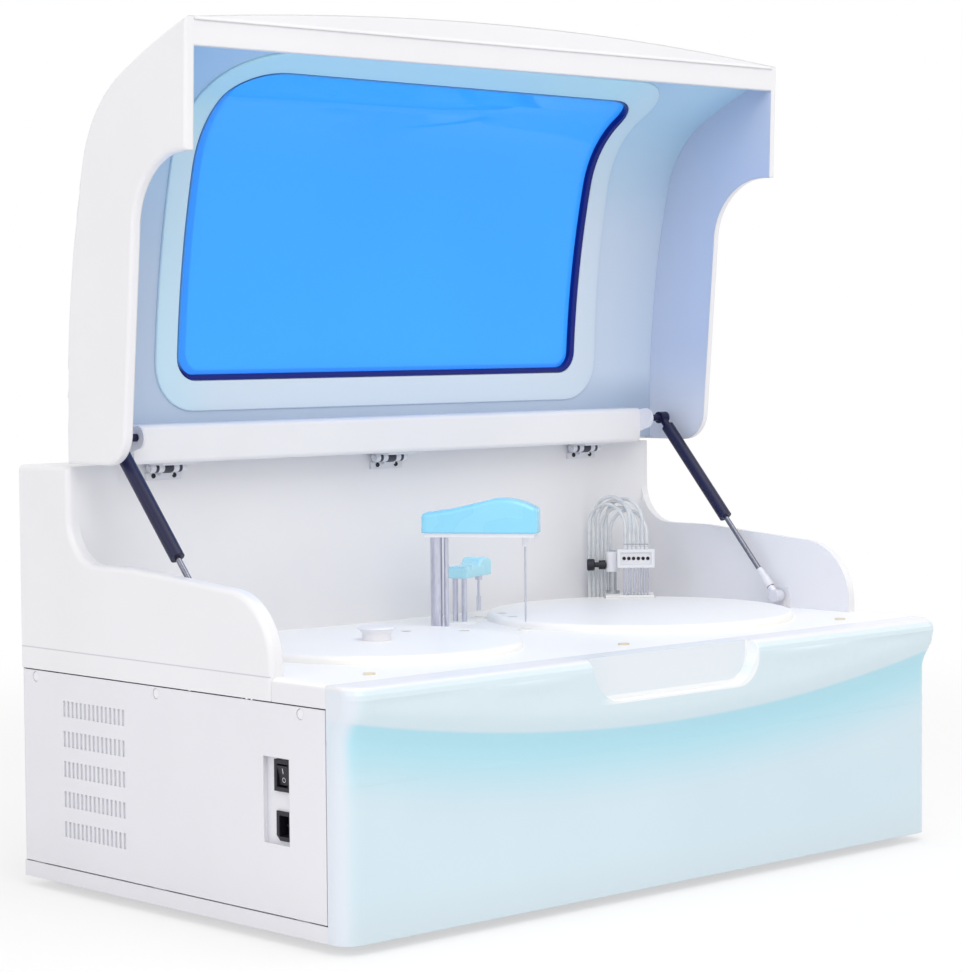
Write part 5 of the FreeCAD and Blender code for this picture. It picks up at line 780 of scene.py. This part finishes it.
# Dark jets in the manifold's recessed face, and a collar where each hose is pushed on, in metres: the jets'
# profile is pairs of radius and height, and the collars' are shares of their radius and height
washSizes = {"bearing": 45, "ringRadius": 0.157, "jetCount": 6, "jetPitch": 0.0056, "jetHeight": 0.304,
             "jetApproach": 0.02, "jetSides": 16,
             "jetProfile": [(0.0021, -0.0002), (0.0021, 0.0006), (0.0017, 0.0008), (0.0015, 0.0013),
                            (0.0009, 0.0015), (0.0008, 0.0007)],
             "hoseCount": 6, "hosePitch": 0.005, "hoseSetback": 0.0026, "hoseApproach": 0.02,
             "collarBore": 0.00215, "collarRadius": 0.00235, "collarTall": 0.006, "collarSides": 20,
             "collarShares": [(1, 0), (1, 0.35), (0.92, 0.45), (1, 0.55), (0.9, 1)]}


def rowOfPlaces(middle, along, pitch, count):
    return [middle + along * pitch * (index - (count - 1) / 2) for index in range(count)]


def addWashFittings():
    bearing = math.radians(washSizes["bearing"])
    outward = Vector((math.cos(bearing), math.sin(bearing), 0.0))
    along = Vector((-math.sin(bearing), math.cos(bearing), 0.0))
    middle = Vector(reactionAxis[:2] + (0.0,)) + outward * washSizes["ringRadius"]
    jets = []
    for place in rowOfPlaces(middle, along, washSizes["jetPitch"], washSizes["jetCount"]):
        place.z = washSizes["jetHeight"]
        seat = surfaceAt("wash_manifold", place - outward * washSizes["jetApproach"], outward)
        jets.append(turned(washSizes["jetProfile"], seat, -outward, washSizes["jetSides"]))
    addPiece("washJets", *gathered(jets), "blackPlastic", "wash_head", "black_plastic")
    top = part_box("wash_manifold")[1][2]
    radius, bore, tall = washSizes["collarRadius"], washSizes["collarBore"], washSizes["collarTall"]
    profile = [(radius * wide, tall * high) for wide, high in washSizes["collarShares"]]
    profile = [(bore, 0)] + profile + [(bore, tall)]
    collars = []
    for place in rowOfPlaces(middle, along, washSizes["hosePitch"], washSizes["hoseCount"]):
        above = place + outward * washSizes["hoseSetback"]
        above.z = top + washSizes["hoseApproach"]
        place.z = surfaceAt("wash_manifold", above, (0, 0, -1)).z
        collars.append(turnedRing(profile, place, (0, 0, 1), washSizes["collarSides"]))
    addPiece("hoseCollars", *gathered(collars), "whiteFitting", "wash_head", "white_plastic")
    print("wash fittings:", len(jets), "jets,", len(collars), "collars")


# Raised on and off marks on the rocker, in metres: a bar above and a ring below
rockerMarks = {"barTall": 0.0052, "barWide": 0.0009, "barTopShare": 0.6, "ringRadius": 0.0024,
               "ringWidth": 0.0006, "ringRoundShare": 0.2, "ringSides": 32, "proud": 0.00025,
               "shoulderShare": 0.7, "sunk": 0.0002, "heightShare": 0.27, "approach": 0.02,
               "nextAbove": 0.002}


# A place on the rocker's sloping face, with the directions up its slope and out of it
def rockerFace(heightShare):
    low, high = [Vector(corner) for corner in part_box("power_rocker")]
    height = low.z + (high.z - low.z) * heightShare
    start = Vector((low.x - rockerMarks["approach"], (low.y + high.y) / 2, height))
    inward = Vector((1, 0, 0))
    seat = surfaceAt("power_rocker", start, inward)
    upper = surfaceAt("power_rocker", start + Vector((0, 0, rockerMarks["nextAbove"])), inward)
    slope = (upper - seat).normalized()
    return seat, slope, Vector((-slope.z, 0, slope.x))


def barMark(seat, slope, outward):
    half, wide, proud = rockerMarks["barTall"] / 2, rockerMarks["barWide"] / 2, rockerMarks["proud"]
    loops = []
    for reach, share in ((-rockerMarks["sunk"], 1), (proud * rockerMarks["shoulderShare"], 1),
                         (proud, rockerMarks["barTopShare"])):
        centre, across = seat + outward * reach, Vector((0, wide * share, 0))
        along = slope * (half - (1 - share) * wide)
        loops.append([centre + along * a + across * b for a, b in ((1, 1), (1, -1), (-1, -1), (-1, 1))])
    points, faces = bridged(loops)
    last = len(points) - 4
    return points, faces + [(0, 1, 2, 3), (last, last + 1, last + 2, last + 3)]


def ringMark(seat, outward):
    radius, width, proud = rockerMarks["ringRadius"], rockerMarks["ringWidth"], rockerMarks["proud"]
    soft, shoulder = width * rockerMarks["ringRoundShare"], proud * rockerMarks["shoulderShare"]
    profile = [(radius - width, -rockerMarks["sunk"]), (radius, -rockerMarks["sunk"]), (radius, shoulder),
               (radius - soft, proud), (radius - width + soft, proud), (radius - width, shoulder)]
    return turnedRing(profile, seat, outward, rockerMarks["ringSides"])


def addRockerMarks():
    bar = barMark(*rockerFace(1 - rockerMarks["heightShare"]))
    seat, _, outward = rockerFace(rockerMarks["heightShare"])
    shapes = gathered([bar, ringMark(seat, outward)])
    addPiece("rockerMarks", *shapes, "markWhite", "rocker", "black_plastic")


# Two dark pan-head screws in each hinge's fixed plate, in metres and in shares of a head's radius and height
hingeScrews = {"spacing": 0.0135, "above": 0.0045, "radius": 0.0026, "tall": 0.0016, "sunk": 0.0003,
               "headShares": [(1, 0.4), (0.85, 0.8), (0.5, 1), (0.4, 0.99), (0.3, 0.45)], "sides": 20,
               "approachFrom": 0.1}


def addHingeScrews():
    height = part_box("hinge_fixed_leaves")[0][2] + hingeScrews["above"]
    radius, tall = hingeScrews["radius"], hingeScrews["tall"]
    profile = [(radius, -hingeScrews["sunk"])]
    profile += [(radius * wide, tall * high) for wide, high in hingeScrews["headShares"]]
    heads = []
    for number in (-1, 0, 1):
        for side in (-1, 1):
            x = number * hinges["pitch"] + side * hingeScrews["spacing"]
            seat = surfaceAt("hinge_fixed_leaves", (x, hingeScrews["approachFrom"], height), (0, 1, 0))
            heads.append(turned(profile, seat, (0, -1, 0), hingeScrews["sides"]))
    addPiece("hingeScrews", *gathered(heads), "blackPlastic", "base", "black_plastic")


# Silvery sleeves on the struts' lower ends, in metres along a strut from its pivot: the profile is pairs of
# radius and share of the length
strutSleeves = {"start": 0.0135, "length": 0.026, "sides": 28,
                "profile": [(0.0043, 0), (0.0052, 0.06), (0.0052, 0.5), (0.0043, 0.56), (0.0043, 0.86),
                            (0.0036, 1)]}


def addStrutSleeves():
    start, length = strutSleeves["start"], strutSleeves["length"]
    profile = [(radius, start + length * share) for radius, share in strutSleeves["profile"]]
    for side in ("left", "right"):
        pivot = jointNamed[side + "_strut_hinge"]["pos_m"]
        axis = jointNamed[side + "_strut_slide"]["axis"]
        shape = turned(profile, pivot, axis, strutSleeves["sides"])
        addPiece(side + "StrutSleeve", *shape, "whiteFitting", side + "_rod", "bright_rod")


# Pleated filter mats close behind the side vents, in metres
ventMats = {"behind": 0.0001, "thick": 0.0012, "pleat": 0.0036, "deep": 0.0004, "frontY": 0.081,
            "rearY": 0.199, "heights": (0.052, 0.208), "pleatSteps": 4, "sharpAngle": 50}


def addVentMats():
    length = ventMats["rearY"] - ventMats["frontY"]
    columns = round(length / ventMats["pleat"] * ventMats["pleatSteps"])
    for side, outerSide in (("left", -1), ("right", 1)):
        low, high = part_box(side + "_side_panel")
        inner = high[0] if side == "left" else low[0]
        rows = []
        for back in (0, ventMats["thick"]):
            row = []
            for step in range(columns + 1):
                fold = ventMats["deep"] * (1 - math.cos(2 * math.pi * step / ventMats["pleatSteps"])) / 2
                x = inner - outerSide * (ventMats["behind"] + fold + back)
                row.append((x, ventMats["frontY"] + length * step / columns))
            rows.append(row)
        outline = rows[0] + rows[1][::-1]
        count = len(outline)
        points, faces = bridged([[(x, y, z) for x, y in outline] for z in ventMats["heights"]])
        for base in (0, count):
            faces += [(base + step, base + step + 1, base + count - step - 2, base + count - step - 1)
                      for step in range(columns)]
        addPiece(side + "VentMat", points, faces, "filterFelt", "base", "white_metal", ventMats["sharpAngle"])


addLiner()
addWindowSeal()
addWashFittings()
addRockerMarks()
addHingeScrews()
addStrutSleeves()
addVentMats()

# Camera where the photograph was taken from
camera = {
    "place": (-2.1107, -2.2147, 0.5722),
    "right": (0.72710519, -0.68647794, -0.00812942),
    "up": (0.04285488, 0.03356647, 0.99851728),
    "ahead": (0.6851872, 0.72637548, -0.05382528),
    "lens": 105.715,
    "sensor": 36,
    "farthest": 50,
}


def addCamera():
    data = bpy.data.cameras.new("photoCamera")
    data.lens = camera["lens"]
    data.sensor_width = camera["sensor"]
    data.clip_end = camera["farthest"]
    holder = bpy.data.objects.new("photoCamera", data)
    columns = [Vector(camera["right"]), Vector(camera["up"]), -Vector(camera["ahead"])]
    turn = Matrix(columns).transposed().to_4x4()
    holder.matrix_world = Matrix.Translation(camera["place"]) @ turn
    bpy.context.scene.collection.objects.link(holder)
    bpy.context.scene.camera = holder


# Soft studio: each lamp has its place, size, power and tone; the floor's glow grows between two distances
studio = {
    "white": (1.0, 1.0, 1.0, 1.0), "worldTone": (0.985, 0.98, 0.955, 1.0), "worldStrength": 0.61,
    "floorHalf": 6.0, "floorTones": (srgb(246, 246, 248), srgb(244, 244, 247)), "floorRough": (0.7, 0.8),
    "floorCloud": 2.0, "glowFade": (0.9, 2.2), "nearGlow": 0.55,
    "lamps": [("keyLamp", (-1.6, -2.6, 3.2), 2.4, 53.0, (1.0, 0.985, 0.94)),
              ("leftLamp", (-3.6, -0.3, 1.6), 2.0, 20.0, (0.99, 0.98, 0.97)),
              ("topLamp", (0.4, -0.5, 3.6), 2.2, 33.0, (1.0, 0.99, 0.96)),
              ("rightLamp", (3.2, -1.8, 1.8), 2.0, 13.0, (0.95, 0.97, 0.98))],
    "lampsAim": (0, 0, 0.35),
}


# One for rays that show the background: straight ones, mirrored ones and ones through clear parts
def backgroundRays(make):
    names = ("Is Camera Ray", "Is Glossy Ray", "Is Transmission Ray")
    straight, mirrored, through = [make("ShaderNodeLightPath", {}, {}, name) for name in names]
    return straight.most(mirrored).most(through)


def addWorld():
    world = bpy.data.worlds.new("studio")
    bpy.context.scene.world = world
    world.use_nodes = True
    tree = world.node_tree
    make = maker(tree)
    lit = tree.nodes["Background"]
    lit.inputs["Color"].default_value = studio["worldTone"]
    lit.inputs["Strength"].default_value = studio["worldStrength"]
    seen = make("ShaderNodeBackground", {}, {"Color": studio["white"], "Strength": 1.0})
    mixed = make("ShaderNodeMixShader", {}, {0: backgroundRays(make), 1: Wire(make, lit.outputs[0]), 2: seen})
    tree.links.new(mixed.socket, tree.nodes["World Output"].inputs["Surface"])


# The paper's own look, under the glow
def paperRecipe(make, place):
    cloud = noise(make, place, studio["floorCloud"])
    return {"Base Color": cloud.blend(*studio["floorTones"]),
            "Roughness": cloud.spanned(*studio["floorRough"])}


# Paper floor whose lit parts read as white, more so further away, with its shadow kept near the object
def addFloor():
    half = studio["floorHalf"]
    mesh = bpy.data.meshes.new("floor")
    corners = [(-half, -half, 0), (half, -half, 0), (half, half, 0), (-half, half, 0)]
    mesh.from_pydata(corners, [], [(0, 1, 2, 3)])
    floor = bpy.data.objects.new("floor", mesh)
    bpy.context.scene.collection.objects.link(floor)
    paper = finish("floorPaper", paperRecipe, {})
    mesh.materials.append(paper)
    tree = paper.node_tree
    make = maker(tree)
    place = make("ShaderNodeTexCoord", {}, {}, "Object")
    x, y = place.part("x"), place.part("y")
    glow = ((x * x + y * y) ** 0.5).step(*studio["glowFade"]).spanned(studio["nearGlow"], 1)
    white = make("ShaderNodeEmission", {}, {"Color": studio["white"], "Strength": 1.0})
    lit = Wire(make, tree.nodes["Principled BSDF"].outputs[0])
    mixed = make("ShaderNodeMixShader", {}, {0: backgroundRays(make) * glow, 1: lit, 2: white})
    tree.links.new(mixed.socket, tree.nodes["Material Output"].inputs["Surface"])


def addLamps():
    for name, place, size, power, tone in studio["lamps"]:
        light = bpy.data.lights.new(name, "AREA")
        light.size = size
        light.energy = power
        light.color = tone
        lamp = bpy.data.objects.new(name, light)
        lamp.location = place
        aim = Vector(studio["lampsAim"]) - Vector(place)
        lamp.rotation_euler = aim.to_track_quat("-Z", "Y").to_euler()
        bpy.context.scene.collection.objects.link(lamp)


addCamera()
addWorld()
addFloor()
addLamps()
bpy.context.scene.view_settings.view_transform = "Standard"
print("camera and studio set")
